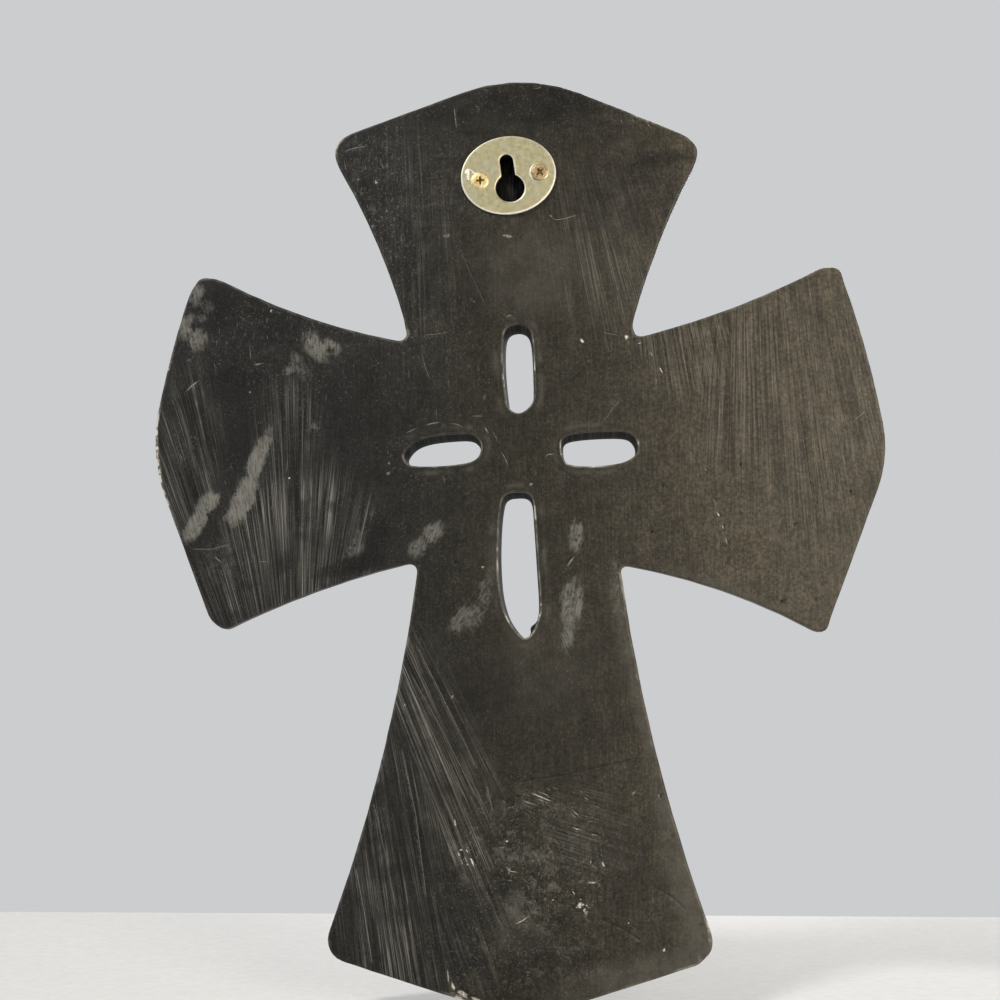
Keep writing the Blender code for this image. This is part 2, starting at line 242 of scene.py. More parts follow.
def trace(loops):
    # closed outlines made ready for measuring distances from them
    spots = np.vstack(loops)
    after, first = [], 0
    for loop in loops:
        after.append(np.roll(np.arange(len(loop)), -1) + first)
        first += len(loop)
    after = np.concatenate(after)
    before = np.empty_like(after)
    before[after] = np.arange(len(after))
    return {"spots": spots, "after": after, "before": before, "tree": nearestTree(spots)}


def distanceTo(points, traced):
    # shortest distance from each point to traced outlines
    if not len(points):
        return np.zeros(0)
    spots, find = traced["spots"], traced["tree"].find
    nearest = np.array([find((x, z, 0))[1] for x, z in points])
    best = np.full(len(points), 1e9)
    for start, end in ((traced["before"][nearest], nearest), (nearest, traced["after"][nearest])):
        run = spots[end] - spots[start]
        away = points - spots[start]
        share = np.clip((away * run).sum(1) / np.maximum((run ** 2).sum(1), 1e-12), 0, 1)
        best = np.minimum(best, lengthsOf(away - share[:, None] * run))
    return best


def insideLoop(points, loop):
    x, z = points[:, 0], points[:, 1]
    inside = np.zeros(len(points), bool)
    for (x1, z1), (x2, z2) in zip(loop, np.roll(loop, -1, 0)):
        if z1 != z2:
            crosses = (z1 > z) != (z2 > z)
            inside ^= crosses & (x < (x2 - x1) * (z - z1) / (z2 - z1) + x1)
    return inside


def roundLoop(count):
    # points of a circle of radius 1
    angles = np.arange(count) * math.tau / count
    return np.column_stack([np.cos(angles), np.sin(angles)])


def lattice(low, high, step, seed):
    # points of a triangular grid, each nudged a little
    rise = step * math.sqrt(3) / 2
    rows = np.arange(low[1], high[1], rise)
    columns = np.arange(low[0], high[0], step)
    x = columns[None, :] + (np.arange(len(rows)) % 2)[:, None] * step / 2
    z = np.repeat(rows[:, None], len(columns), 1)
    points = np.column_stack([x.ravel(), z.ravel()])
    return points + np.random.default_rng(seed).uniform(-0.12, 0.12, points.shape) * step


# A mesh while it is made: points, faces and for each point a value of edge wear and painted highlight

def startMesh():
    return {"points": [], "faces": [], "edge": []}


def addRing(mesh, flat, depth, edge=0.0):
    first = len(mesh["points"])
    depths = np.broadcast_to(depth, len(flat))
    mesh["points"] += [(x, y, z) for (x, z), y in zip(flat, depths)]
    mesh["edge"] += list(np.broadcast_to(edge, len(flat)))
    return list(range(first, first + len(flat)))


def joinRings(mesh, near, far, hole=False):
    for i in range(len(near)):
        j = (i + 1) % len(near)
        quad = (near[i], far[i], far[j], near[j])
        mesh["faces"].append(quad[::-1] if hole else quad)


def joinAll(mesh, rings, hole=False):
    for near, far in zip(rings, rings[1:]):
        joinRings(mesh, near, far, hole)


def closedEdges(rows, first=0):
    # edges along closed rows of points that are numbered one row after another
    edges = []
    for row in rows:
        edges += [(first + i, first + (i + 1) % len(row)) for i in range(len(row))]
        first += len(row)
    return edges


def fillSheet(mesh, outer, holes, extra, lines, surface, front=False):
    # triangles between an outer ring and the rings of its holes, through the extra points.
    # surface gives the depth and the edge value, wear and painted highlight, at new points
    rings = [outer] + holes
    taken = [i for ring in rings for i in ring]
    edges = closedEdges(rings) + [(len(taken) + a, len(taken) + b) for a, b in lines]
    spots = [Vector(p) for p in flatRing(mesh, taken)] + [Vector(p) for p in extra]
    result = delaunay_2d_cdt(spots, edges, [], 0, 1e-5, True)
    made, triangles, sources = result[0], result[2], result[3]
    made = np.array([tuple(p) for p in made])
    places = [next((s for s in source if s < len(taken)), None) for source in sources]
    fresh = [i for i, place in enumerate(places) if place is None]
    depths, wear = surface(made[fresh])
    start = len(mesh["points"])
    names = {i: start + n for n, i in enumerate(fresh)}
    names.update({i: taken[place] for i, place in enumerate(places) if place is not None})
    mesh["points"] += [(made[i][0], y, made[i][1]) for i, y in zip(fresh, depths)]
    mesh["edge"] += list(wear)
    rim = np.array([place is not None for place in places])
    triangles = np.array(triangles)
    doubtful = rim[triangles].all(1)
    middles = made[triangles[doubtful]].mean(1)
    good = insideLoop(middles, flatRing(mesh, outer))
    for ring in holes:
        good &= ~insideLoop(middles, flatRing(mesh, ring))
    keep = np.ones(len(triangles), bool)
    keep[np.flatnonzero(doubtful)[~good]] = False
    for a, b, c in triangles[keep]:
        face = (names[a], names[b], names[c])
        mesh["faces"].append(face[::-1] if front else face)


def flatRing(mesh, ring):
    return np.array([(mesh["points"][i][0], mesh["points"][i][2]) for i in ring])


def capRing(mesh, ring, depth, middle=None, hole=False):
    # closes the end of a hole or pin with a fan of triangles
    middle = flatRing(mesh, ring).mean(0) if middle is None else middle
    centre = len(mesh["points"])
    mesh["points"].append((middle[0], depth, middle[1]))
    mesh["edge"].append(0.0)
    for i in range(len(ring)):
        j = (i + 1) % len(ring)
        face = (ring[i], centre, ring[j])
        mesh["faces"].append(face[::-1] if hole else face)


def finishMesh(name, mesh, node, material):
    points = np.array(mesh["points"]) * mm
    low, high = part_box(node)
    points = np.clip(points, np.array(low), np.array(high))
    data = bpy.data.meshes.new(name)
    data.from_pydata([tuple(p) for p in points], [], [tuple(map(int, f)) for f in mesh["faces"]])
    data.update()
    data.shade_smooth()
    data.materials.append(material)
    piece = bpy.data.objects.new(name, data)
    bpy.context.scene.collection.objects.link(piece)
    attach(piece, "root")
    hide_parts(node)
    print(f"{name}: {len(points)} points, {sum(len(f) - 2 for f in mesh['faces'])} triangles")
    return piece


def addValues(piece, name, values, kind="FLOAT"):
    attribute = piece.data.attributes.new(name, kind, "POINT")
    field = "value" if kind == "FLOAT" else "vector"
    attribute.data.foreach_set(field, np.ascontiguousarray(values, np.float32).ravel())


# Casting

castingShape = {
    "back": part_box("cross_body")[0].y / mm,
    "sideDepth": 3.5,         # straight part of the side, before it rounds over to the front
    "fieldDepth": 9.0,        # back to the sunk field of the front
    "rimDepth": 11.5,         # back to the crown of the border
    "crownInset": 7.2,        # crown of the border, from the outline
    "rimWidth": 12.0,
    "frameWidth": 3.8,        # raised frame round each slot, on the front
    "slotDraft": 0.6,         # how far each slot narrows to the front, on each side
    "bossRadius": 10.5,
    "bossHeight": 4.2,
    "edgeWear": (0.35, 0.95),  # rounding of the back's edge, from least to most
    "edgeAngles": (25, 50, 72, 90),    # where the worn edge has points, in degrees
    "crownAngles": (8, 17, 27, 38),    # and the round-over to the front
    "slotWear": 0.4,
    "lipHeight": 0.12,        # swelling round each slot on the back
    "lipWidth": 2.5,
    "edgeFall": (0.12, 6),    # the back falls away by this much, this near its edge
    "lipHighlightReach": 0.75,       # half the width of the pale line on the swelling, partly a painted highlight
    "waviness": 0.1,          # of the back, which was sanded by hand
    "plateReach": 15,         # what lies this near the middle of the plate is behind it
    "calmReach": 26,          # the back is flat round the plate, and as wavy as elsewhere from here
    "markMargin": 1.5,        # scratches and chips keep this far from the edges
    "pocketFloor": 2.5,       # resin left between the keyhole's pocket and the front's field
    "pilotDepth": 7.5,        # of the holes for the screws
    "outlineStep": 1.0,
    "slotStep": 0.6,
    "backStep": 1.12,
    "frontStep": 1.9,
}


def onBack(pixel):
    return np.array(onPlane(pixel, castingShape["back"]))


# Scratches in the back: the pixels that each runs through, its width, depth and paleness
scratches = {
    "aboveLeftScrew": (((454, 104), (455, 117), (457, 131)), 0.3, 0.08, 0.5),
    "nearTip": (((531, 89), (538, 88), (546, 85)), 0.3, 0.08, 0.45),
    "topCornerAcross": (((341, 152), (354, 148), (370, 145)), 0.28, 0.08, 0.5),
    "topCornerDown": (((343, 156), (346, 170), (348, 182)), 0.28, 0.06, 0.4),
    "hook": (((549, 216), (556, 220), (566, 218), (580, 214)), 0.32, 0.1, 0.5),
    "hookDot": (((549, 215), (553, 217)), 0.5, 0.1, 0.6),
    "throat": (((460, 249), (470, 272), (486, 306)), 0.22, 0.06, 0.28),
    "throatRight": (((599, 331), (610, 334), (623, 336)), 0.28, 0.07, 0.4),
    "throatCross": (((604, 331), (607, 345), (611, 354)), 0.22, 0.05, 0.3),
    "throatLeft": (((421, 335), (436, 334), (451, 331)), 0.3, 0.06, 0.35),
    "aboveLeftSlot": (((421, 350), (425, 366), (431, 383)), 0.25, 0.06, 0.35),
    "leftSlotArcA": (((404, 434), (412, 430), (419, 427)), 0.45, 0.08, 0.4),
    "leftSlotArcB": (((423, 426), (433, 423), (443, 422)), 0.45, 0.08, 0.5),
    "leftSlotArcC": (((447, 423), (457, 424), (467, 429)), 0.35, 0.08, 0.35),
    "hubDash": (((471, 416), (484, 416)), 0.4, 0.06, 0.4),
    "hubTick": (((484, 426), (489, 434)), 0.5, 0.08, 0.5),
    "besideHubHigh": (((491, 428), (499, 443)), 0.35, 0.06, 0.35),
    "besideHub": (((500, 449), (505, 458), (509, 467)), 0.35, 0.08, 0.45),
    "rightOfHub": (((544, 459), (548, 454), (557, 454)), 0.3, 0.07, 0.6),
    "rightSlotLine": (((625, 396), (612, 409), (604, 422)), 0.22, 0.05, 0.3),
    "slotTopLeftLine": (((436, 407), (437, 418)), 0.3, 0.05, 0.3),
    "belowLeftSlot": (((443, 472), (446, 486)), 0.25, 0.05, 0.3),
    "hookLeftArm": (((250, 347), (251, 362)), 0.28, 0.07, 0.45),
    "hookLeftArmFoot": (((253, 365), (263, 363)), 0.4, 0.08, 0.6),
    "leftArmCut": (((184, 393), (191, 386), (201, 379)), 0.34, 0.1, 0.65),
    "leftArmCutTop": (((185, 361), (192, 358)), 0.3, 0.06, 0.4),
    "leftArmLow": (((189, 549), (212, 549), (233, 543)), 0.25, 0.05, 0.35),
    "leftArmLowFork": (((213, 555), (224, 565)), 0.4, 0.07, 0.45),
    "leftArmTick": (((257, 562), (270, 561)), 0.3, 0.06, 0.4),
    "leftArmUp": (((288, 457), (286, 475)), 0.22, 0.05, 0.35),
    "rightArmLong": (((799, 410), (808, 470), (817, 532)), 0.22, 0.05, 0.28),
    "rightArmTick": (((851, 423), (857, 418), (868, 409)), 0.3, 0.07, 0.5),
    "rightShoulder": (((659, 366), (663, 374)), 0.55, 0.12, 0.9),
    "rightShoulderTop": (((650, 351), (653, 357)), 0.45, 0.1, 0.7),
    "rightArmDashHigh": (((713, 497), (718, 508)), 0.3, 0.06, 0.4),
    "rightArmDashLow": (((725, 537), (728, 545)), 0.4, 0.1, 0.7),
    "rightArmDot": (((704, 467), (707, 472)), 0.4, 0.1, 0.6),
    "footDash": (((513, 925), (522, 921), (531, 915)), 0.42, 0.12, 0.9),
    "footTick": (((587, 882), (593, 883), (598, 882)), 0.75, 0.12, 0.85),
    "footHighA": (((529, 792), (541, 797), (555, 803)), 0.5, 0.1, 0.8),
    "footHighB": (((537, 791), (545, 794), (552, 798)), 0.34, 0.07, 0.6),
    "footHighC": (((520, 799), (529, 803), (538, 805)), 0.42, 0.08, 0.6),
    "footHighD": (((571, 809), (576, 813), (581, 818)), 0.42, 0.08, 0.6),
    "footHighE": (((571, 827), (577, 829), (583, 830)), 0.55, 0.1, 0.7),
    "footHighF": (((590, 834), (595, 835), (599, 836)), 0.42, 0.08, 0.6),
    "footHighG": (((534, 797), (543, 801), (553, 805)), 0.32, 0.07, 0.5),
    "footHighH": (((569, 812), (574, 816), (578, 819)), 0.32, 0.07, 0.45),
    "footMiddle": (((505, 864), (510, 871), (521, 873)), 0.45, 0.1, 0.65),
    "footMiddleFork": (((511, 866), (508, 876)), 0.45, 0.1, 0.55),
    "footMiddleLow": (((506, 880), (513, 881)), 0.5, 0.08, 0.55),
    "fanFirst": (((415, 642), (447, 706), (479, 772)), 0.24, 0.07, 0.4),
    "fanSecond": (((410, 672), (438, 722), (478, 800)), 0.26, 0.06, 0.3),
    "fanThird": (((404, 676), (430, 728), (466, 800)), 0.26, 0.06, 0.26),
    "fanFourth": (((401, 745), (416, 815), (427, 902)), 0.24, 0.07, 0.38),
    "fanFifth": (((355, 864), (364, 910), (373, 968)), 0.24, 0.07, 0.5),
    "fanSixth": (((372, 795), (385, 852), (397, 912)), 0.24, 0.05, 0.3),
    "belowFan": (((486, 781), (494, 815)), 0.24, 0.06, 0.35),
}

# Fine dark cracks across the foot
cracks = {
    "across": (((510, 783), (560, 776), (600, 767), (640, 758)), 0.25, 0.1, -0.45),
    "corner": (((652, 885), (672, 897), (688, 912)), 0.25, 0.1, -0.4),
    "lowRight": (((598, 918), (625, 930), (645, 944)), 0.3, 0.1, -0.4),
    "rightEdge": (((626, 563), (631, 590)), 0.3, 0.1, -0.4),
}

# Chips and specks: pixel, length and width, lean of the length, depth and paleness
chips = {
    "besideTopSlot": ((582, 341), 2.3, 1.3, -65, 0.3, 1.0),
    "armpit": ((626, 337), 2.2, 1.5, -70, 0.35, 1.0),
    "armpitRight": ((640, 343), 1.9, 0.6, 15, 0.2, 0.8),
    "leftArmUpper": ((271, 311), 1.5, 0.6, 75, 0.15, 0.9),
    "leftArmDot": ((289, 478), 0.8, 0.7, 0, 0.15, 1.0),
    "leftArmSmall": ((250, 392), 0.7, 0.5, 0, 0.1, 0.7),
    "underLeftSlotA": ((388, 473), 1.8, 1.2, 30, 0.15, 0.45),
    "underLeftSlotB": ((389, 463), 1.3, 0.8, 60, 0.12, 0.4),
    "rightArmStreak": ((718, 514), 2.2, 0.75, -65, 0.3, 1.0),
    "rightArmStreakLow": ((723, 527), 1.6, 0.5, -70, 0.2, 0.9),
    "rightArmEdge": ((873, 383), 1.3, 1.0, -60, 0.2, 0.9),
    "bottomSlotRim": ((541, 605), 1.2, 0.9, 0, -0.12, 0.75),
    "footLeft": ((455, 823), 2.4, 0.8, -80, 0.25, 1.0),
    "footMiddleDot": ((507, 841), 1.2, 0.9, 0, 0.2, 1.0),
    "footRightChip": ((580, 905), 3.2, 1.7, 60, 0.35, 1.0),
    "footRightChipTop": ((574, 893), 1.4, 0.6, -60, 0.2, 0.9),
    "footRightChipLeg": ((584, 910), 2.2, 0.8, -75, 0.25, 0.9),
    "footRightChipFoot": ((586, 913), 2.0, 1.4, -40, 0.25, 0.6),
    "footCorner": ((664, 950), 1.5, 1.1, 80, 0.2, 0.95),
    "footBreak": ((448, 976), 4.2, 0.7, -82, 0.25, 0.9),
    "footBreakLow": ((453, 987), 3.6, 1.2, -70, 0.35, 1.0),
    "footBreakTip": ((463, 994), 4.6, 1.7, -28, 0.35, 1.0),
    "footBreakEnd": ((476, 999), 4.0, 0.9, -15, 0.25, 0.9),
    "footRightSmall": ((591, 862), 1.6, 0.6, -80, 0.15, 0.7),
    "footRightSmaller": ((603, 864), 2.0, 0.9, -50, 0.2, 0.85),
    "footLadderHigh": ((467, 851), 1.5, 0.7, -60, 0.2, 0.85),
    "footLadderTop": ((461, 850), 1.3, 0.8, 10, 0.2, 0.95),
    "footLadderLeft": ((459, 854), 1.4, 1.0, -60, 0.25, 1.0),
    "footLadderLong": ((472, 861), 3.8, 0.9, -67, 0.3, 1.0),
    "footLadderRung": ((466, 860), 3.0, 0.45, -64, 0.15, 0.6),
    "footLadderOther": ((462, 862), 2.6, 0.4, -64, 0.12, 0.5),
    "footSpeckA": ((546, 899), 0.7, 0.5, 0, 0.1, 0.75),
    "footSpeckB": ((553, 900), 0.8, 0.6, 0, 0.1, 0.8),
    "footSpeckC": ((562, 896), 0.7, 0.5, 40, 0.1, 0.6),
    "footSpeckD": ((629, 923), 0.8, 0.6, 0, 0.15, 0.75),
    "edgeCrescent": ((660, 796), 2.0, 1.3, 5, 0.3, 0.5),
    "edgePale": ((634, 793), 2.4, 1.1, 60, 0.08, 0.4),
    "hubLow": ((531, 484), 1.6, 1.0, 50, 0.12, 0.5),
    "hubBubble": ((524, 477), 2.6, 2.4, 0, 0.06, 0.12),
    "leftOfBottomSlot": ((483, 567), 1.2, 0.8, 30, 0.12, 0.7),
    "dent": ((566, 563), 5.4, 1.9, 55, 0.45, -0.3),
    "dentRidge": ((570, 562), 5.6, 0.9, 57, -0.12, 0.5),
    "aboveTopSlot": ((509, 316), 2.4, 1.2, 20, 0.05, 0.3),
    "leftEdgeHigh": ((167, 366), 1.1, 0.9, 0, 0.2, 1.0),
    "fanTop": ((405, 705), 1.8, 0.8, 40, 0.1, 0.4),
    "footHighLeft": ((452, 697), 1.4, 0.8, 60, 0.1, 0.5),
    "topLeftBig": ((376, 182), 1.5, 1.1, -60, 0.12, 0.8),
    "smearUnderPlate": ((508, 236), 5.0, 1.2, -12, 0.04, 0.5),
    "smearUnderPlateLeft": ((447, 236), 3.2, 2.2, 0, 0.04, 0.35),
}

# Groups of short strokes: middle pixel, half width and half height in pixels, how many, and
# lean and paleness from least to most
strokeGroups = {
    "foot": ((532, 858), (78, 66), 80, (-50, 20), (0.12, 0.5)),
    "footLow": ((520, 945), (70, 26), 22, (-40, 40), (0.1, 0.4)),
    "topLeft": ((378, 205), (36, 90), 60, (75, 110), (0.1, 0.45)),
    "leftArm": ((300, 350), (110, 60), 36, (85, 125), (0.1, 0.4)),
    "shoulder": ((640, 330), (90, 60), 24, (85, 120), (0.1, 0.35)),
    "centre": ((430, 400), (60, 60), 20, (60, 120), (0.1, 0.35)),
    "topRight": ((642, 117), (24, 8), 16, (-78, -62), (0.35, 0.8)),
    "tip": ((430, 106), (26, 10), 10, (100, 150), (0.2, 0.5)),
    "footHigh": ((555, 800), (40, 16), 16, (-32, -18), (0.2, 0.7)),
    "leftArmTop": ((250, 330), (60, 36), 26, (70, 110), (0.15, 0.45)),
    "rightNotch": ((620, 590), (5, 26), 10, (60, 100), (0.2, 0.5)),
    "leftArmRim": ((200, 440), (40, 90), 26, (-75, -62), (0.15, 0.5)),
    "rightArm": ((700, 330), (50, 40), 20, (-82, -76), (0.1, 0.4)),
}
strokeShape = {"length": (0.9, 3.6), "width": (0.16, 0.3), "depth": 0.05}

# Groups of small chips: middle pixel, half width and half height in pixels, how many,
# greatest size, and paleness from least to most
chipGroups = {
    "footLeft": ((468, 857), (11, 10), 22, 0.75, (0.4, 0.9)),
    "footRight": ((582, 908), (9, 11), 14, 1.1, (0.5, 1.0)),
    "footMiddle": ((540, 905), (40, 22), 18, 0.7, (0.25, 0.7)),
    "footDark": ((545, 910), (45, 20), 12, 1.3, (-0.6, -0.3)),
    "footLow": ((500, 955), (55, 25), 16, 0.7, (0.2, 0.6)),
    "topLeft": ((385, 195), (38, 48), 36, 0.9, (0.2, 0.6)),
    "topLeftBright": ((392, 211), (9, 9), 9, 1.1, (0.4, 0.8)),
    "topLeftLow": ((400, 285), (22, 55), 22, 0.7, (0.15, 0.45)),
    "tip": ((470, 110), (60, 22), 16, 0.8, (0.2, 0.5)),
    "topRight": ((655, 118), (22, 8), 7, 1.0, (0.4, 0.8)),
    "leftArmTop": ((285, 320), (90, 40), 20, 0.8, (0.15, 0.5)),
    "centre": ((430, 385), (55, 55), 20, 0.7, (0.15, 0.5)),
    "rightThroat": ((600, 350), (45, 30), 12, 0.6, (0.2, 0.5)),
    "rightArm": ((790, 440), (90, 110), 14, 0.6, (0.15, 0.5)),
    "rightArmRim": ((770, 605), (60, 16), 10, 0.6, (0.3, 0.6)),
    "rightNotch": ((621, 592), (5, 24), 16, 0.8, (0.3, 0.8)),
    "leftArmRim": ((157, 470), (3, 50), 12, 0.9, (0.5, 0.9)),
    "hub": ((540, 470), (50, 60), 18, 0.6, (0.15, 0.45)),
    "leftSlot": ((436, 428), (34, 6), 10, 0.7, (0.3, 0.7)),
}

# Pin holes left by air bubbles: pixel and size across
pinHoleDepth = 0.6
smallestChip, chipDepth = 0.13, 0.2       # half size and greatest depth in the groups
pinHoles = {
    "rightArm": [((741, 464), 1.3), ((663, 486), 1.1), ((796, 524), 0.9), ((782, 601), 1.1),
                 ((652, 532), 1.2), ((648, 530), 0.7), ((851, 491), 0.8)],
    "notch": [((635, 339), 1.5)],
    "foot": [((661, 796), 1.1), ((455, 745), 0.6), ((642, 819), 0.6), ((672, 836), 0.8),
             ((654, 741), 0.7), ((637, 677), 0.8), ((684, 866), 0.7), ((629, 600), 0.8),
             ((693, 887), 0.6), ((701, 925), 0.6)],
    "leftArm": [((355, 440), 0.6), ((455, 563), 0.9), ((461, 580), 0.7), ((330, 330), 0.6)],
    "top": [((600, 140), 0.6), ((635, 164), 0.8), ((560, 300), 0.6), ((473, 300), 0.7)],
}

# Chips in the edge of the back: pixel, length along the edge and size
edgeChips = {
    "topCornerRight": ((697, 150), 4.0, 0.6),
    "leftCorner": ((203, 278), 3.0, 0.4),
    "leftEdge": ((156, 455), 16.0, 0.45),
    "armpitRight": ((634, 335), 3.2, 1.2),
    "armpitLeft": ((406, 333), 2.5, 0.7),
    "footCorner": ((704, 957), 5.0, 2.6),
    "footCornerNext": ((711, 938), 5.0, 0.5),
    "footTipLeft": ((446, 980), 5.0, 1.2),
    "footTipLeftNext": ((462, 993), 9.0, 1.6),
    "footLeft": ((352, 860), 3.0, 0.6),
    "rightNotch": ((627, 614), 2.2, 0.9),
    "rightEdgeA": ((655, 742), 2.4, 0.7),
    "rightEdgeB": ((675, 838), 2.6, 0.8),
    "rightEdgeC": ((686, 868), 2.2, 0.7),
    "rightEdgeD": ((639, 676), 2.0, 0.6),
    "armRight": ((874, 384), 3.0, 0.4),
}

# Sanding marks run away from a pivot pixel. Fans of one layer lie apart from each other
sandingFans = {
    "leftArm": {"layer": "one", "pivot": (298, 824), "middle": (250, 490)},
    "footLower": {"layer": "one", "pivot": (250, -60), "middle": (400, 880)},
    "rightArm": {"layer": "one", "pivot": (744, -110), "middle": (800, 430)},
    "topRight": {"layer": "one", "pivot": (480, -250), "middle": (590, 230)},
    "footUpper": {"layer": "two", "pivot": (190, 170), "middle": (445, 850)},
    "shoulder": {"layer": "two", "pivot": (560, -350), "middle": (690, 345)},
    "topLeft": {"layer": "two", "pivot": (330, -1500), "middle": (400, 230)},
    "footMiddle": {"layer": "two", "pivot": (-300, 560), "middle": (620, 880)},
}

# Soft patches of the back: middle pixel, half length and half width in pixels, lean of the
# length in degrees from level, and strength
patches = {
    "haze": [((196, 295), 16, 9, 70, 0.75), ((206, 306), 14, 8, -40, 0.6), ((186, 326), 18, 11, 75, 0.7),
             ((198, 340), 16, 12, 80, 0.75), ((315, 346), 24, 12, -55, 0.74), ((332, 347), 14, 9, -40, 0.7),
             ((296, 362), 15, 9, -65, 0.52), ((202, 318), 8, 6, 0, 0.5),
             ((288, 371), 8, 6, 30, 0.6), ((305, 375), 12, 5, -70, 0.5),
             ((265, 446), 26, 8, 76, 0.72), ((256, 462), 30, 10, 74, 0.9), ((243, 500), 34, 13, 68, 0.95),
             ((236, 512), 20, 9, 40, 0.7), ((208, 503), 18, 11, 44, 0.85), ((196, 524), 26, 10, 60, 0.9),
             ((188, 535), 12, 9, 0, 0.6),
             ((432, 533), 18, 12, 50, 0.66), ((418, 548), 14, 12, 60, 0.6),
             ((576, 535), 22, 9, 85, 0.7), ((572, 605), 32, 14, 88, 0.76),
             ((569, 630), 28, 9, 80, 0.68), ((513, 898), 9, 20, 0, 0.5), ((532, 915), 22, 9, 30, 0.42),
             ((520, 857), 40, 13, -4, 0.5), ((545, 805), 40, 12, -22, 0.38), ((560, 850), 30, 16, -25, 0.36),
             ((475, 915), 12, 20, 70, 0.4), ((500, 955), 40, 12, 0, 0.36), ((560, 950), 30, 16, 0, 0.3),
             ((520, 925), 14, 20, 80, 0.42), ((610, 970), 60, 12, 14, 0.3), ((665, 905), 7, 20, 60, 0.35),
             ((640, 340), 14, 5, 10, 0.3), ((520, 470), 8, 5, 0, 0.3), ((600, 225), 30, 16, -10, 0.25),
             ((482, 600), 36, 10, 75, 0.55), ((462, 620), 24, 14, 50, 0.6),
             ((316, 427), 10, 7, 20, 0.5), ((392, 470), 8, 10, 0, 0.3),
             ((357, 545), 14, 20, -20, 0.5), ((372, 512), 22, 5, -62, 0.42),
             ((500, 222), 40, 12, -5, 0.3), ((393, 210), 20, 13, 60, 0.4),
             ((460, 190), 30, 30, 60, 0.3), ((220, 560), 34, 26, 60, 0.35),
             ((630, 300), 14, 60, 0, 0.25), ((665, 215), 8, 40, 60, 0.3),
             ((790, 317), 10, 22, 0, 0.35), ((815, 352), 8, 18, 0, 0.3)],
    "shade": [((376, 533), 24, 13, 80, 1.0), ((352, 566), 42, 10, 14, 0.9),
              ((655, 160), 38, 12, 6, 0.7), ((480, 700), 70, 50, 60, 0.45),
              ((330, 300), 60, 20, -15, 0.45), ((225, 410), 55, 60, 0, 0.5),
              ((452, 900), 110, 20, -66, 0.7), ((448, 940), 50, 26, -60, 0.7),
              ((405, 740), 40, 14, -60, 0.5), ((500, 890), 24, 14, -20, 0.6),
              ((470, 290), 60, 18, 75, 0.4), ((560, 750), 60, 50, 0, 0.15),
              ((330, 390), 40, 20, 0, 0.3), ((620, 870), 40, 44, 0, 0.25),
              ((660, 940), 30, 12, -30, 0.3), ((510, 120), 60, 24, 5, 0.35),
              ((585, 130), 50, 26, 0, 0.5), ((525, 955), 22, 34, -50, 0.5),
              ((470, 100), 70, 24, 15, 0.5), ((630, 195), 80, 60, 0, 0.5),
              ((540, 104), 90, 28, 0, 0.75), ((374, 538), 9, 15, 0, 1.0), ((366, 559), 22, 8, 14, 0.9),
              ((395, 232), 26, 60, 12, 0.6), ((380, 190), 60, 60, 0, 0.45), ((620, 190), 60, 60, 0, 0.25),
              ((458, 210), 14, 50, 20, 0.4),
              ((570, 700), 70, 80, 0, 0.3), ((620, 860), 44, 60, 0, 0.35),
              ((250, 310), 70, 50, 0, 0.55), ((390, 830), 130, 52, -76, 0.45), ((530, 435), 60, 50, 0, 0.2),
              ((440, 860), 34, 60, 0, 0.3), ((505, 885), 16, 26, 30, 0.7),
              ((530, 945), 30, 14, -40, 0.6), ((478, 905), 30, 16, -60, 0.8)],
    "border": [((738, 594), 80, 7, -22, 0.6), ((853, 566), 66, 6, 72, 0.5),
               ((645, 700), 110, 14, -76, 0.8), ((684, 870), 95, 20, -76, 0.9),
               ((618, 600), 42, 7, -84, 0.7), ((650, 972), 70, 16, 17, 1.0),
               ((700, 940), 22, 20, 0, 1.0), ((600, 985), 60, 18, 20, 0.6),
               ((545, 660), 50, 60, 0, 0.35), ((520, 600), 18, 70, 0, 0.3),
               ((494, 560), 8, 50, 0, 0.35), ((530, 270), 60, 50, 0, 0.5),
               ((610, 250), 50, 80, 0, 0.2), ((514, 903), 24, 8, 88, 0.85),
               ((522, 934), 28, 18, -20, 0.65)],
    "scuff": [((530, 870), 88, 72, 0, 1.0), ((540, 800), 44, 22, -20, 0.6),
              ((520, 950), 90, 46, 0, 0.8), ((470, 860), 22, 30, 0, 0.7),
              ((375, 170), 46, 40, 0, 0.7), ((385, 240), 44, 70, 0, 0.75),
              ((450, 190), 40, 50, 0, 0.5),
              ((420, 320), 50, 60, 0, 0.35), ((620, 590), 10, 34, 0, 0.9),
              ((560, 95), 110, 22, 0, 0.3), ((280, 340), 100, 50, 0, 0.25)],
    "streakOne": [((300, 545), 78, 84, 0, 1.0), ((188, 450), 34, 90, 0, 0.9),
                  ((290, 430), 36, 60, 0, 0.5), ((215, 590), 45, 40, 0, 0.7),
                  ((395, 880), 170, 58, -78, 0.92), ((425, 955), 60, 30, -78, 0.8),
                  ((745, 385), 56, 110, 0, 0.86), ((812, 395), 88, 165, 0, 0.60),
                  ((868, 470), 50, 130, 0, 0.42),
                  ((615, 240), 80, 100, 0, 0.5)],
    "streakTwo": [((432, 722), 116, 36, -64, 1.0), ((690, 340), 46, 60, 0, 0.85),
                  ((648, 345), 20, 20, 0, 0.6), ((400, 240), 60, 120, 0, 0.35),
                  ((590, 835), 44, 50, 0, 0.45), ((466, 850), 90, 22, -66, 0.85),
                  ((468, 945), 50, 24, -66, 0.6)],
}
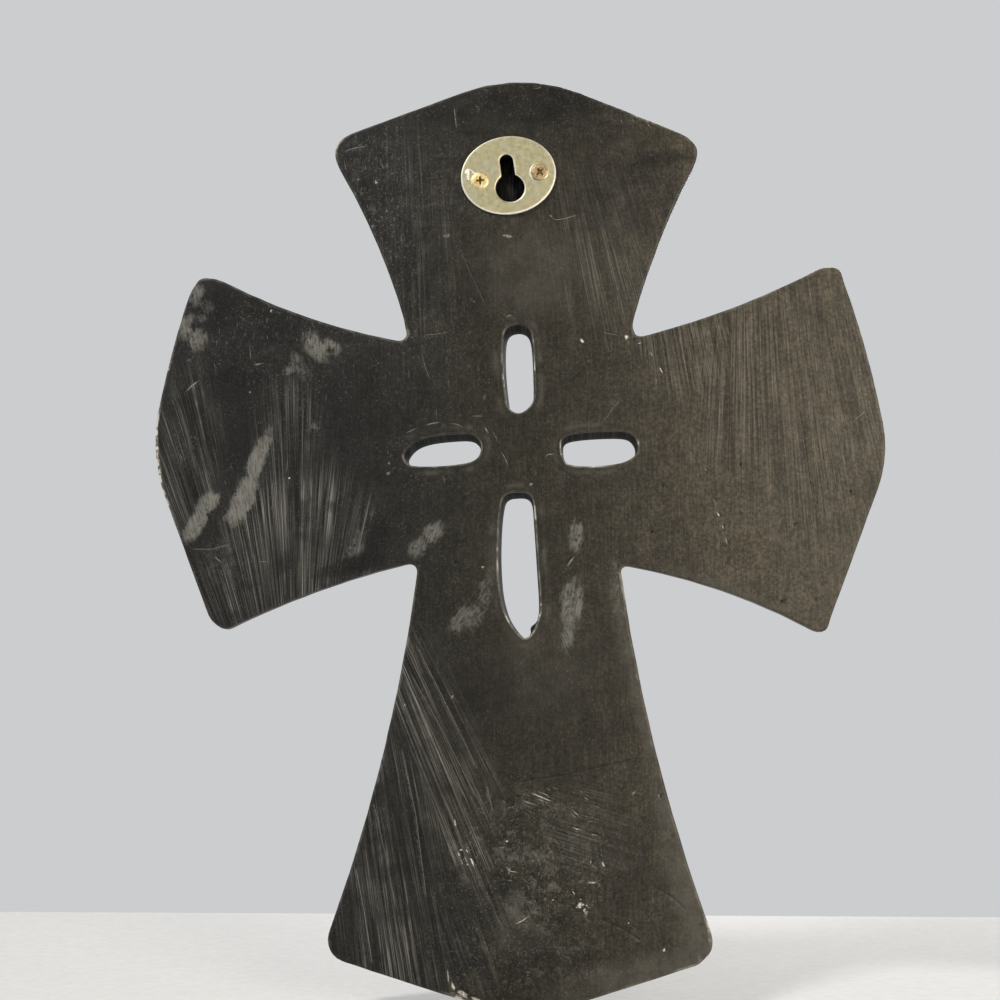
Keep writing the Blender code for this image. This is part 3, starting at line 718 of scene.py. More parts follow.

# Places where the edge is painted paler, partly worn and partly a painted highlight: pixel, length in mm and
# paleness
paleAndLitEdges = [((156, 455), 34, 1.8), ((166, 510), 18, 1.3), ((167, 366), 3, 1.8), ((338, 150), 9, 1.3),
             ((446, 980), 7, 2.0), ((460, 992), 12, 2.0), ((480, 1002), 8, 1.6), ((622, 590), 16, 1.0),
             ((628, 614), 3, 0.2), ((706, 930), 12, 1.2), ((690, 966), 12, 1.0), ((704, 957), 4.5, 0.15),
             ((406, 332), 5, 0.6), ((635, 335), 3, 0.5), ((660, 120), 20, 0.5), ((620, 985), 26, 0.5)]

# Corners that are fuller than the smoothed outline: pixel, shift in mm and reach in mm
outlineNudges = {
    "leftArmCorner": ((203, 281), (-0.75, 0.85), 2.6),
    "leftArmLow": ((226, 629), (-0.3, -0.6), 2.6),
    "rightArmCorner": ((838, 270), (0.55, 0.5), 2.5),
    "rightArmLow": ((822, 630), (0.6, -0.35), 2.6),
    "armpitLeft": ((408, 330), (-0.45, 0.0), 3.0),
    "armpitRight": ((633, 330), (0.6, 0.1), 3.0),
    "topCornerRight": ((696, 149), (0.45, 0.25), 2.6),
    "topCornerLeft": ((338, 147), (-0.4, 0.2), 2.6),
}

# Outlines of the four slots where they open on the back, as pixels
slotEdges = {
    "top": ((517, 324), (527, 327), (532, 338), (534, 367), (534, 396), (529, 407), (519, 413),
            (509, 408), (506, 398), (503, 367), (503, 340), (507, 328)),
    "left": ((404, 454), (413, 443), (428, 437), (451, 434), (470, 434), (479, 440), (481, 449),
             (477, 458), (466, 463), (440, 466), (415, 466), (406, 462)),
    "right": ((561, 446), (564, 437), (578, 433), (607, 431), (627, 432), (636, 439), (638, 449),
              (633, 457), (620, 463), (596, 466), (572, 465), (564, 459)),
    "bottom": ((516, 492), (507, 494), (502, 501), (499, 523), (498, 557), (500, 590), (505, 612),
               (512, 626), (523, 638), (532, 633), (538, 619), (540, 604), (538, 568), (535, 523),
               (533, 501), (527, 493)),
}

# Lump of resin in the wall of the long slot: pixel, height in mm and reach in mm
slotLump = ((537, 629), 1.5, 1.7)


def patchField(points, name):
    total = np.zeros(len(points))
    for pixel, length, width, lean, strength in patches[name]:
        away = points - onBack(pixel)
        turn = math.radians(lean)
        along = (away[:, 0] * math.cos(turn) + away[:, 1] * math.sin(turn)) / (length * pixelSize)
        across = (-away[:, 0] * math.sin(turn) + away[:, 1] * math.cos(turn)) / (width * pixelSize)
        reach = np.hypot(along, across)
        total = np.maximum(total, strength * (1 - softStep(reach, 0.45, 1.35)))
    return total


def namedLines():
    lines = []
    for group in (scratches, cracks):
        for pixels, width, depth, pale in group.values():
            lines.append((np.array([onBack(p) for p in pixels]), width, depth, pale))
    return lines


def somewhereIn(draw, middle, reach):
    # a random place on the back, in an oval given in pixels
    angle, out = draw.uniform(0, math.tau), math.sqrt(draw.random())
    return onBack((middle[0] + reach[0] * out * math.cos(angle),
                   middle[1] + reach[1] * out * math.sin(angle)))


def strokeLines():
    # short strokes over the scuffed and worn places
    draw = random.Random(21)
    lines = []
    for middle, reach, count, leans, pales in strokeGroups.values():
        for _ in range(count):
            start = somewhereIn(draw, middle, reach)
            lean = math.radians(draw.uniform(*leans))
            length = draw.uniform(*strokeShape["length"])
            end = start + length * np.array([math.cos(lean), math.sin(lean)])
            lines.append((np.array([start, end]), draw.uniform(*strokeShape["width"]),
                          strokeShape["depth"], draw.uniform(*pales)))
    return lines


def spotMarks():
    # chips and pin holes as middle, half length and half width, lean, depth and paleness
    spots = [(onBack(pixel), (length / 2, width / 2), lean, depth, pale)
             for pixel, length, width, lean, depth, pale in chips.values()]
    draw = random.Random(34)
    for middle, reach, count, largest, pales in chipGroups.values():
        for _ in range(count):
            middleSpot = somewhereIn(draw, middle, reach)
            half = max(largest / 2 * draw.uniform(0.3, 1.0) ** 1.5, smallestChip)
            spots.append((middleSpot, (half, half * draw.uniform(0.4, 1.0)),
                          draw.uniform(0, 180), min(half, chipDepth), draw.uniform(*pales)))
    # pin holes get paleness -1, which paints them near black, a painted shade in the hole
    for group in pinHoles.values():
        for pixel, size in group:
            spots.append((onBack(pixel), (size / 2, size / 2.6), 60, pinHoleDepth, -1.0))
    return spots


def spotRings(spot, index):
    # two uneven rings round one chip
    middle, (long, wide), lean, _, pale = spot
    draw = random.Random(100 + index)
    count = 10 if long > 0.5 else 7
    uneven = 0.25 if pale == -1.0 else 0.42
    outer = []
    for i in range(count):
        angle = math.tau * i / count
        size = 1 + draw.uniform(-uneven, uneven * 0.7)
        outer.append((long * size * math.cos(angle), wide * size * math.sin(angle)))
    outer = turned(np.array(outer), lean) + middle
    return outer, middle + (outer - middle) * 0.55


def lineRows(line, width):
    # rows of points along a scratch: its bottom and its two sides
    points = evenLine(line, 1.1)
    run = np.gradient(points, axis=0)
    run /= lengthsOf(run)[:, None]
    side = np.column_stack([-run[:, 1], run[:, 0]])
    half = width / 2
    return [points + side * half * share for share in (-1.0, -0.45, 0.45, 1.0)]


def fadeOfEnds(points, line):
    # a scratch is deepest in its middle and runs out to nothing before its ends
    lengths = lengthsOf(np.diff(line, axis=0))
    before = np.concatenate([[0], np.cumsum(lengths)])
    whole = before[-1]
    best = np.full(len(points), 1e9)
    along = np.zeros(len(points))
    for i, (start, end) in enumerate(zip(line, line[1:])):
        run = end - start
        share = np.clip(((points - start) @ run) / max(run @ run, 1e-12), 0, 1)
        away = lengthsOf(points - start - share[:, None] * run)
        closer = away < best
        best[closer] = away[closer]
        along[closer] = before[i] + share[closer] * lengths[i]
    tail = min(2.5, whole * 0.3)
    margin = min(0.3, whole * 0.12)
    toEnd = np.minimum(along, whole - along)
    return best, softStep(toEnd, margin, margin + tail)


def evenLine(line, step):
    along = np.concatenate([[0], np.cumsum(lengthsOf(np.diff(line, axis=0)))])
    count = max(int(round(along[-1] / step)), 2) + 1
    at = np.linspace(0, along[-1], count)
    return np.column_stack([np.interp(at, along, line[:, axis]) for axis in (0, 1)])


def markField(points, lines, spots, outlines):
    # depth and paleness that the scratches and chips give each point of the back
    depth = np.zeros(len(points))
    pale = np.zeros(len(points))
    for line, width, deep, shine in lines:
        reach = width / 2 + 0.05
        near = ((points >= line.min(0) - reach) & (points <= line.max(0) + reach)).all(1)
        near = np.flatnonzero(near)
        if len(near):
            away, fade = fadeOfEnds(points[near], line)
            share = (1 - softStep(away, width * 0.24, width * 0.48)) * fade
            depth[near] = np.maximum(depth[near], deep * share)
            stronger = abs(shine) * share > abs(pale[near])
            pale[near[stronger]] = shine * share[stronger]
    for (middle, halves, _, deep, shine), (outer, _) in zip(spots, outlines):
        near = np.flatnonzero(lengthsOf(points - middle) < halves[0] * 1.3)
        if len(near):
            away = fromLine(points[near], np.vstack([outer, outer[:1]]))
            inside = insideLoop(points[near], outer)
            share = np.where(inside, softStep(away, 0, halves[1] * 0.42), 0)
            depth[near] = np.where(share > 0, depth[near] * (1 - share) + deep * share, depth[near])
            pale[near] = np.where(share > 0, pale[near] * (1 - share) + shine * share, pale[near])
    return depth, pale


def edgeRounding(loop):
    # how far the worn edge of the back is rounded at each point of the outline
    least, most = castingShape["edgeWear"]
    lumps = 0.5 + 0.5 * (0.6 * softNoise(loop, 9, 31) + 0.4 * softNoise(loop, 2.2, 32))
    size = least + (most - least) * lumps
    for pixel, length, deep in edgeChips.values():
        away = lengthsOf(loop - onBack(pixel))
        share = 1 - softStep(away, length * 0.2, length * 0.62)
        size += deep * share * (0.85 + 0.3 * softNoise(loop, 1.5, 33))
    return np.clip(size, 0.2, 3.0)


def makeCasting(material):
    # rings of points follow the outline from the back, round the worn edge and over to the front
    shape = castingShape
    back = shape["back"]
    mesh = startMesh()
    loops = sectionLoops("cross_body", back + 1.0)
    outline = smoothLoop(loops[0], shape["outlineStep"], 0.5)
    outline -= outward(outline) * (0.05 + 0.05 * softNoise(outline, 4, 41))[:, None]
    for pixel, shift, reach in outlineNudges.values():
        away = lengthsOf(outline - onBack(pixel))
        outline += np.array(shift) * np.exp(-(away / reach) ** 2)[:, None]
    plateMiddle = middleOf("hanger_plate")
    others = [evenLoop(loop, 0.7) for loop in loops[1:]
              if np.linalg.norm(loop.mean(0) - plateMiddle) < shape["plateReach"]]
    slots = [curveThrough([onBack(p) for p in pixels], shape["slotStep"])
             for pixels in slotEdges.values()]
    edgeTrace, slotTrace = trace([outline]), trace(slots)

    def wearAndHighlightAt(flat, facing):
        # paleness of a worn edge with a painted highlight: paler where it faces up, and darker where it
        # faces down, a painted shade
        share = 0.34 * softStep(facing[:, 1], -0.75, 0.1) + 0.08
        share *= 0.75 + 0.5 * softNoise(flat, 5, 35)
        for pixel, length, strength in paleAndLitEdges:
            away = lengthsOf(flat - onBack(pixel))
            share += (strength - share) * (1 - softStep(away, length * 0.25, length * 0.6))
        return np.clip(share, 0, 2)

    lines = namedLines() + strokeLines()
    spots = spotMarks()
    outlines = [spotRings(spot, i) for i, spot in enumerate(spots)]

    def backSurface(points):
        toSlot = distanceTo(points, slotTrace)
        toEdge = distanceTo(points, edgeTrace)
        calm = softStep(lengthsOf(points - plateMiddle), shape["plateReach"], shape["calmReach"])
        waves = 0.7 * softNoise(points, 38, 51) + 0.3 * softNoise(points, 13, 52)
        lip = shape["lipHeight"] * (1 - softStep(toSlot, shape["lipWidth"] - 0.8,
                                                 shape["lipWidth"] + 0.8))
        depth, _ = markField(points, lines, spots, outlines)
        y = back + calm * shape["waviness"] * (0.5 + waves) - lip + depth
        fall, reach = shape["edgeFall"]
        y += fall * (1 - softStep(toEdge, 0, reach)) ** 2
        return np.maximum(y, back - 0.25), np.zeros(len(points))

    # worn edge, side and round-over of the outline
    rounding = edgeRounding(outline)
    normal = outward(outline)
    innerFlat = outline - normal * (rounding + 0.3)[:, None]
    innerDepth, _ = backSurface(innerFlat)
    startFlat = outline - normal * rounding[:, None]
    startDepth, _ = backSurface(startFlat)
    wear = wearAndHighlightAt(outline, normal)
    rings = [addRing(mesh, innerFlat, innerDepth), addRing(mesh, startFlat, startDepth, wear * 0.6)]
    for angle in shape["edgeAngles"]:
        turn = math.radians(angle)
        inset = rounding * (1 - math.sin(turn))
        depth = startDepth + rounding * (1 - math.cos(turn))
        rings.append(addRing(mesh, outline - normal * inset[:, None], depth, wear))
    lastDepth = startDepth + rounding
    for share in (0.5, 1.0):
        depth = lastDepth + (back + shape["sideDepth"] - lastDepth) * share
        rings.append(addRing(mesh, outline, depth))
    for angle in shape["crownAngles"]:
        turn = math.radians(angle)
        inset = shape["crownInset"] * (1 - math.cos(turn))
        rise = (shape["rimDepth"] - shape["sideDepth"]) * math.sin(turn)
        rings.append(addRing(mesh, outline - normal * inset, back + shape["sideDepth"] + rise))
    joinAll(mesh, rings)
    outerBack, outerFront = rings[0], rings[-1]

    # slots, with a worn edge on the back and a slight draft to the front
    slotBacks, slotFronts = [], []
    for loop in slots:
        away = outward(loop)
        wear = shape["slotWear"] * (1 + 0.35 * softNoise(loop, 3, 61))
        # rim of each slot: worn paleness and a painted highlight
        shine = np.clip(wearAndHighlightAt(loop, -away) * 3.2, 0, 1.3)
        pixel, height, reach = slotLump
        blob = height * np.exp(-(lengthsOf(loop - onBack(pixel)) / reach) ** 2)
        flat = loop + away * wear[:, None]
        depths, _ = backSurface(flat)
        innerDepths, _ = backSurface(flat + away * 0.3)
        slotRings = [addRing(mesh, flat + away * 0.3, innerDepths),
                     addRing(mesh, flat, depths, shine * 0.8)]
        for angle in (30, 60, 90):
            turn = math.radians(angle)
            grow = wear * (1 - math.sin(turn))
            slotRings.append(addRing(mesh, loop + away * grow[:, None],
                                     depths + wear * (1 - math.cos(turn)), shine))
        # the wall rings get -1, which paints the walls near black, a painted shade
        for share in (0.12, 0.4, 0.7, 1.0):
            draft = shape["slotDraft"] * share
            depth = depths + wear + (back + shape["rimDepth"] - depths - wear) * share
            lump = blob * softStep(np.array(share), 0.05, 0.4)
            slotRings.append(addRing(mesh, loop - away * (draft + lump)[:, None], depth, -1.0))
        joinAll(mesh, slotRings, hole=True)
        slotBacks.append(slotRings[0])
        slotFronts.append(slotRings[-1])

    # holes behind the plate
    otherBacks = []
    for index, loop in enumerate(others):
        pocket = index == 0                          # the largest is the keyhole's pocket
        deepest = shape["fieldDepth"] - shape["pocketFloor"] if pocket else shape["pilotDepth"]
        holeRings = [addRing(mesh, loop, back)]
        middle = loop.mean(0)
        for share in (0.33, 0.66, 1.0):
            scale = 1.0 if pocket else max(1 - share * 1.4, 0.5)
            holeRings.append(addRing(mesh, middle + (loop - middle) * scale, back + deepest * share))
        joinAll(mesh, holeRings, hole=True)
        capRing(mesh, holeRings[-1], back + deepest)
        otherBacks.append(holeRings[0])

    # the back itself
    low, high = outline.min(0), outline.max(0)
    grid = lattice(low, high, shape["backStep"], 71)
    extra, chains = markPoints(lines, outlines)
    extra, chains = keepInside(extra, chains, outline, slots + others, shape["markMargin"])
    lipRows = slotRows(slots, [shape["lipWidth"] + shift for shift in (-0.5, 0, 0.5)], 0.8)
    chains += closedEdges(lipRows, len(extra))
    extra = np.vstack([extra] + lipRows)
    grid = keepClear(grid, innerFlat, [flatRing(mesh, r) for r in slotBacks + otherBacks],
                     extra, shape["backStep"])
    fillSheet(mesh, outerBack, slotBacks + otherBacks, np.vstack([extra, grid]), chains, backSurface)

    # the front, with its border, slot frames and boss
    crossing = crossingPoint(slots)

    def frontSurface(points):
        toEdge = distanceTo(points, edgeTrace)
        toSlot = distanceTo(points, slotTrace)
        field, rim = back + shape["fieldDepth"], back + shape["rimDepth"]
        side = back + shape["sideDepth"]
        share = np.clip(1 - toEdge / shape["crownInset"], 0, 1)
        rounded = side + (rim - side) * np.sqrt(1 - share ** 2)
        fall = np.clip((toEdge - shape["crownInset"]) / (shape["rimWidth"] - shape["crownInset"]), 0, 1)
        border = np.where(toEdge < shape["crownInset"], rounded,
                          rim - (rim - field) * (1 - np.cos(math.pi * fall)) / 2)
        lean = np.clip((toSlot / shape["frameWidth"] - 0.3) / 0.7, 0, 1)
        frames = np.where(toSlot < shape["frameWidth"], field + (rim - field) * np.sqrt(1 - lean ** 2),
                          field)
        out = np.clip(lengthsOf(points - crossing) / shape["bossRadius"], 0, 1)
        boss = field + shape["bossHeight"] * np.sqrt(1 - out ** 2)
        y = np.maximum(np.maximum(border, frames), boss)
        lumps = 0.06 * softNoise(points, 17, 81) + 0.03 * softNoise(points, 6, 82)
        return y - 0.06 + lumps, np.zeros(len(points))

    wide = shape["frameWidth"]
    rows = slotRows(slots, (wide * 0.3, wide * 0.62, wide * 0.86, wide * 0.99, wide + 0.25), 1.0)
    rows += circleRows(crossing, [shape["bossRadius"] * share for share in
                                  (1.02, 0.995, 0.95, 0.85, 0.68, 0.45, 0.2)], 0.9)
    extra = np.vstack(rows)
    grid = lattice(low, high, shape["frontStep"], 72)
    grid = keepClear(grid, flatRing(mesh, outerFront), [flatRing(mesh, r) for r in slotFronts],
                     extra, shape["frontStep"])
    fillSheet(mesh, outerFront, slotFronts, np.vstack([extra, grid]), closedEdges(rows),
              frontSurface, front=True)

    piece = finishMesh("crossCasting", mesh, "cross_body", material)
    addCastingValues(piece, mesh, lines, spots, outlines, slots)


def crossingPoint(slots):
    # midway between the two level slots
    middles = sorted([loop.mean(0) for loop in slots], key=lambda m: m[1])
    level = middles[1:3]
    return np.array([(level[0][0] + level[1][0]) / 2, (level[0][1] + level[1][1]) / 2])


def slotRows(slots, distances, step):
    # closed rows of points at set distances outside each slot
    return [evenLoop(loop + outward(loop) * distance, step) for loop in slots for distance in distances]


def circleRows(middle, radii, step):
    return [middle + radius * roundLoop(max(int(math.tau * radius / step), 8)) for radius in radii]


def markPoints(lines, outlines):
    points, chains = [], []
    count = 0
    for line, width, _, _ in lines:
        for row in lineRows(line, width):
            points.append(row)
            chains += [(count + i, count + i + 1) for i in range(len(row) - 1)]
            count += len(row)
    for outer, inner in outlines:
        for ring in (outer, inner) if np.ptp(outer, axis=0).max() > 0.7 else (outer,):
            points.append(ring)
            chains += [(count + i, count + (i + 1) % len(ring)) for i in range(len(ring))]
            count += len(ring)
        points.append(outer.mean(0)[None])
        count += 1
    return np.vstack(points), chains


def keepInside(points, chains, outline, holes, margin):
    # leaves out the points that lie off the casting or too close to an edge
    good = insideLoop(points, outline) & (distanceTo(points, trace([outline] + holes)) > margin)
    for loop in holes:
        good &= ~insideLoop(points, loop)
    places = np.cumsum(good) - 1
    kept = [(places[a], places[b]) for a, b in chains if good[a] and good[b]]
    return points[good], kept


def keepClear(grid, outerFlat, holeFlats, others, step):
    good = insideLoop(grid, outerFlat)
    for loop in holeFlats:
        good &= ~insideLoop(grid, loop)
    grid = grid[good]
    grid = grid[distanceTo(grid, trace([outerFlat] + holeFlats)) > step * 0.48]
    tree = nearestTree(others)
    far = [tree.find((x, z, 0))[2] > step * 0.42 for x, z in grid]
    return grid[np.array(far)]


def addCastingValues(piece, mesh, lines, spots, outlines, slots):
    points = np.array(mesh["points"])
    flat, depth = points[:, [0, 2]], points[:, 1]
    isBack = (depth < castingShape["back"] + 1.0).astype(float)
    _, pale = markField(flat, lines, spots, outlines)
    toSlot = distanceTo(flat, trace(slots))
    lipHighlight = np.exp(-((toSlot - castingShape["lipWidth"] * 0.92) / castingShape["lipHighlightReach"]) ** 2)
    wear = np.array(mesh["edge"])
    addValues(piece, "edge", np.maximum(wear, 0))
    addValues(piece, "wall", (wear < 0).astype(float))
    addValues(piece, "pale", pale * isBack)
    addValues(piece, "lipHighlight", lipHighlight * isBack)
    for name in patches:
        addValues(piece, name, patchField(flat, name) * isBack)
    # the holes behind the plate are painted darker with depth, a painted shade
    behindPlate = lengthsOf(flat - middleOf("hanger_plate")) < castingShape["plateReach"]
    inHoles = behindPlate & (depth < castingShape["back"] + 7.0)
    addValues(piece, "hollow", softStep(depth, 2.0, 4.0) * inHoles)
    addValues(piece, "sandingOne", sandingPlace(flat, "one"), "FLOAT_VECTOR")
    addValues(piece, "sandingTwo", sandingPlace(flat, "two"), "FLOAT_VECTOR")


def sandingPlace(flat, layer):
    # across and along the sanding marks, from the pivot of the nearest fan of a layer
    place = np.zeros((len(flat), 3))
    nearest = np.full(len(flat), 1e9)
    fans = [fan for fan in sandingFans.values() if fan["layer"] == layer]
    for number, fan in enumerate(fans):
        pivot, middle = onBack(fan["pivot"]), onBack(fan["middle"])
        away = flat - pivot
        heading = middle - pivot
        reach = np.linalg.norm(heading)
        angle = np.arctan2(away[:, 1], away[:, 0]) - math.atan2(heading[1], heading[0])
        angle = (angle + math.pi) % math.tau - math.pi
        gap = lengthsOf(flat - middle)
        mine = gap < nearest
        place[mine] = np.column_stack([angle * reach, lengthsOf(away),
                                       np.full(len(flat), number * 40.0)])[mine]
        nearest = np.minimum(nearest, gap)
    return place * mm


# Keyhole plate

plateShape = {
    "size": (32.0, 27.2),
    "thickness": 1.0,
    "tilt": 7.5,               # degrees, counter-clockwise as the back is seen
    "edge": 0.42,              # rounding of its outer edge
    "holeEdge": 0.42,          # bevel round the keyhole
    "sinkRadius": 3.15,        # countersinks of the screws
    "faceStep": 0.42,
    "backStep": 1.6,
    "burrHeight": 0.16,
    "faceDepth": 0.16,         # of the flat face behind the tip of the burr
    "rimDish": (0.05, 3.0),    # fall of the face to its outer edge, and how wide
    "holeDish": (0.06, 0.1, 0.9),   # fall to the keyhole, from and to which distance
    "lumps": 0.03,
    # countersinks: shift from the screw, size and painted highlight on the left side of the rim
    "sinks": {"left": ((-0.05, -0.06), 0.93, 0.35), "right": ((-0.22, 0.0), 1.0, 0.75)},
}

# Sliver torn up beside the left screw, as pixels
burr = {
    "hook": ((466, 173), (468, 170), (471, 170), (474, 173)),
    "tail": ((468, 171), (468, 179)),
}


def makePlate(material):
    shape = plateShape
    mesh = startMesh()
    middle = middleOf("hanger_plate")
    oval = turned(roundLoop(200) * np.array(shape["size"]) / 2, shape["tilt"]) + middle
    loops = sectionLoops("hanger_plate", 0.8)
    keyhole = smoothLoop(loops[1], 0.4, 0.12)
    sinks = [middleOf(f"hanger_screw_{side}") + np.array(shift)
             + shape["sinkRadius"] * grown * roundLoop(56)
             for side, (shift, grown, _) in shape["sinks"].items()]
    ridges = [np.array([onPlane(p, 0) for p in line]) for line in burr.values()]
    ovalTrace, holeTrace = trace([oval]), trace([keyhole])

    def face(points):
        toEdge = distanceTo(points, ovalTrace)
        fall, wide = shape["rimDish"]
        dish = fall * (1 - softStep(toEdge, 0, wide))
        dish += shape["lumps"] * (softNoise(points, 5, 91) + 1) / 2
        fall, near, far = shape["holeDish"]
        dish += fall * (1 - softStep(distanceTo(points, holeTrace), near, far))
        lift = np.zeros(len(points))
        for line in ridges:
            lift = np.maximum(lift, 1 - softStep(fromLine(points, line), 0.1, 0.3))
        return np.maximum(dish - shape["burrHeight"] * lift + shape["faceDepth"], 0.0), lift

    normal = outward(oval)
    flat = oval - normal * shape["edge"]
    startDepth, _ = face(flat)
    # painted highlight on the rounded rim, partly a burnished edge, weaker along its top
    lit = 1.1 - 0.5 * softStep(normal[:, 1] - 0.25 * normal[:, 0], 0.1, 0.9)
    rings = [addRing(mesh, flat, startDepth, lit * 0.4)]
    for angle in (20, 42, 65, 90):
        turn = math.radians(angle)
        rings.append(addRing(mesh, oval - normal * shape["edge"] * (1 - math.sin(turn)),
                             startDepth + shape["edge"] * (1 - math.cos(turn)), lit))
    rings.append(addRing(mesh, oval, shape["thickness"] - 0.12))
    rings.append(addRing(mesh, oval - normal * 0.12, shape["thickness"]))
    joinAll(mesh, rings)
    away = outward(keyhole)
    keyRings = []
    depths, _ = face(keyhole + away * shape["holeEdge"])
    # painted highlight round the keyhole, strongest on its right-hand side
    lit = 0.45 + 0.7 * softStep(away[:, 0] - 0.35 * away[:, 1], -0.4, 0.6)
    for grow, down in ((shape["holeEdge"], 0.0), (shape["holeEdge"] * 0.4, 0.09), (0.0, 0.34)):
        keyRings.append(addRing(mesh, keyhole + away * (grow * np.clip(lit, 0.65, 1.1))[:, None],
                                depths + down, lit * (grow < shape["holeEdge"])))
    keyRings.append(addRing(mesh, keyhole, shape["thickness"] * 0.7 + 0.15))
    keyRings.append(addRing(mesh, keyhole + away * 0.05, shape["thickness"]))
    joinAll(mesh, keyRings, hole=True)
    fronts, backs = [keyRings[0]], [keyRings[-1]]
    for sink, (_, _, strength) in zip(sinks, shape["sinks"].values()):
        centre = sink.mean(0)
        depths, _ = face(sink)
        shine = 0.1 + strength * softStep(centre[0] - sink[:, 0], 1.6, 3.1)
        sinkRings = [addRing(mesh, sink, depths, shine)]
        for scale, depth in ((0.97, 0.2), (0.83, 0.62), (0.745, 0.98), (0.745, 1.0)):
            sinkRings.append(addRing(mesh, centre + (sink - centre) * scale, depth, shine * (depth < 0.9)))
        joinAll(mesh, sinkRings, hole=True)
        fronts.append(sinkRings[0])
        backs.append(sinkRings[-1])
    grid = lattice(oval.min(0), oval.max(0), shape["faceStep"], 92)
    rows = np.vstack([row for line in ridges for row in lineRows(line, 0.5)])
    rows = rows[distanceTo(rows, trace(sinks)) > 0.25]
    for sink in sinks:
        rows = rows[~insideLoop(rows, sink)]
    fine = keepClear(grid, flat, [flatRing(mesh, r) for r in fronts], rows, shape["faceStep"])
    fillSheet(mesh, rings[0], fronts, np.vstack([rows, fine]), [], face)
    coarse = lattice(oval.min(0), oval.max(0), shape["backStep"], 93)
    coarse = keepClear(coarse, oval, [flatRing(mesh, r) for r in backs], rows[:1], shape["backStep"])
    fillSheet(mesh, rings[-1], backs, coarse, [],
              lambda points: (np.full(len(points), shape["thickness"]), np.zeros(len(points))),
              front=True)
    piece = finishMesh("keyholePlate", mesh, "hanger_plate", material)
    addValues(piece, "edge", np.array(mesh["edge"]))
    points = np.array(mesh["points"])[:, [0, 2]]
    addValues(piece, "plateAt", np.column_stack([turned(points - middle, -shape["tilt"]),
                                                 np.zeros(len(points))]) * mm, "FLOAT_VECTOR")


# Screws

screwShape = {
    "headRadius": 2.78,
    "dome": 0.28,
    "shankRadius": 1.25,
    "threadHeight": 0.2,
    "threadPitch": 1.1,
    "length": 7.9,
    "recessReach": 1.7,        # half the width of the driver cross
    "recessHalf": 0.42,        # half the width of its arms
    "recessDepth": 0.85,
    "recessWall": 0.12,        # width of the slope of its walls
    "recessEnd": 0.75,         # length of the slope at the ends of its arms
    "recessMiddle": (0.62, 0.2),   # radius of its round middle and width of that slope
    "turns": {"left": 3.0, "right": 41.0},   # where each stopped, in degrees
}


def recessDepth(x, z, turn):
    # depth of the driver cross at a place on the head
    shape = screwShape
    angle = math.radians(turn)
    u = x * math.cos(angle) + z * math.sin(angle)
    v = -x * math.sin(angle) + z * math.cos(angle)
    deepest = 0.0
    for along, across in ((u, v), (v, u)):
        half = shape["recessHalf"] * (1 - 0.6 * abs(along) / shape["recessReach"])
        wall = min(max((half - abs(across)) / shape["recessWall"] + 0.5, 0), 1)
        slope = min(max((shape["recessReach"] - abs(along)) / shape["recessEnd"], 0), 1)
        deepest = max(deepest, wall * slope)
    radius, slope = shape["recessMiddle"]
    centre = min(max((radius - math.hypot(u, v)) / slope, 0), 1)
    return shape["recessDepth"] * max(deepest, centre)


def makeScrew(side, material):
    shape = screwShape
    mesh = startMesh()
    middle = middleOf(f"hanger_screw_{side}")
    turn = shape["turns"][side]
    count = 96
    angles = np.arange(count) * math.tau / count
    circle = roundLoop(count)
    draw = np.random.default_rng(7 if side == "left" else 8)
    wobble = 1 + 0.012 * np.sin(3 * angles + draw.uniform(0, 6)) + 0.008 * np.sin(7 * angles)

    def crown(radius):
        return shape["dome"] * (1 - math.sqrt(max(1 - (radius / shape["headRadius"]) ** 2 * 0.96, 0)))

    rings = []
    rim = 2.72
    for radius in list(np.linspace(0.06, 1.5, 19)) + [1.75, 2.05, 2.35, 2.6, rim]:
        flat = circle * radius
        depths = [crown(radius) + recessDepth(x, z, turn) for x, z in flat]
        rings.append(addRing(mesh, middle + flat, np.array(depths), 1.0 if radius > 2.5 else 0.0))
    capRing(mesh, rings[0], shape["recessDepth"], middle, hole=True)
    head = shape["headRadius"]
    rings.append(addRing(mesh, middle + circle * (head * wobble)[:, None],
                         crown(rim) + 0.1, 0.8))
    neck = crown(rim) + 0.1 + head - shape["shankRadius"]
    rings.append(addRing(mesh, middle + circle * head * 0.985, crown(rim) + 0.2))
    rings.append(addRing(mesh, middle + circle * (shape["shankRadius"] + 0.1), neck - 0.1))
    rings.append(addRing(mesh, middle + circle * shape["shankRadius"], neck))
    joinAll(mesh, rings)
    coils = [rings[-1]]
    for share in np.arange(1, 65) / 64:
        depth = neck + (shape["length"] - neck - 0.05) * share
        taper = 1 - 0.85 * softStep(np.array([share]), 0.72, 1.0)[0]
        phase = depth / shape["threadPitch"] - angles / math.tau
        ridge = np.abs((phase % 1.0) * 2 - 1) ** 2.2
        grow = min(share * 8, 1.0)
        radius = (shape["shankRadius"] - 0.1 + shape["threadHeight"] * ridge * grow) * taper
        coils.append(addRing(mesh, middle + circle * radius[:, None], depth))
    joinAll(mesh, coils)
    capRing(mesh, coils[-1], shape["length"], middle)
    piece = finishMesh(f"screw{side.capitalize()}", mesh, f"hanger_screw_{side}", material)
    points = np.array(mesh["points"])
    sunk = [recessDepth(x - middle[0], z - middle[1], turn) / shape["recessDepth"] if y < 1.4 else 0
            for x, y, z in points]
    addValues(piece, "sunk", np.array(sunk))
    addValues(piece, "edge", np.array(mesh["edge"]))


# Finishes

def addNode(tree, kind, inputs=None, **settings):
    node = tree.nodes.new(kind)
    for name, value in settings.items():
        setattr(node, name, value)
    for name, value in (inputs or {}).items():
        if isinstance(value, bpy.types.NodeSocket):
            tree.links.new(value, node.inputs[name])
        else:
            node.inputs[name].default_value = value
    return node


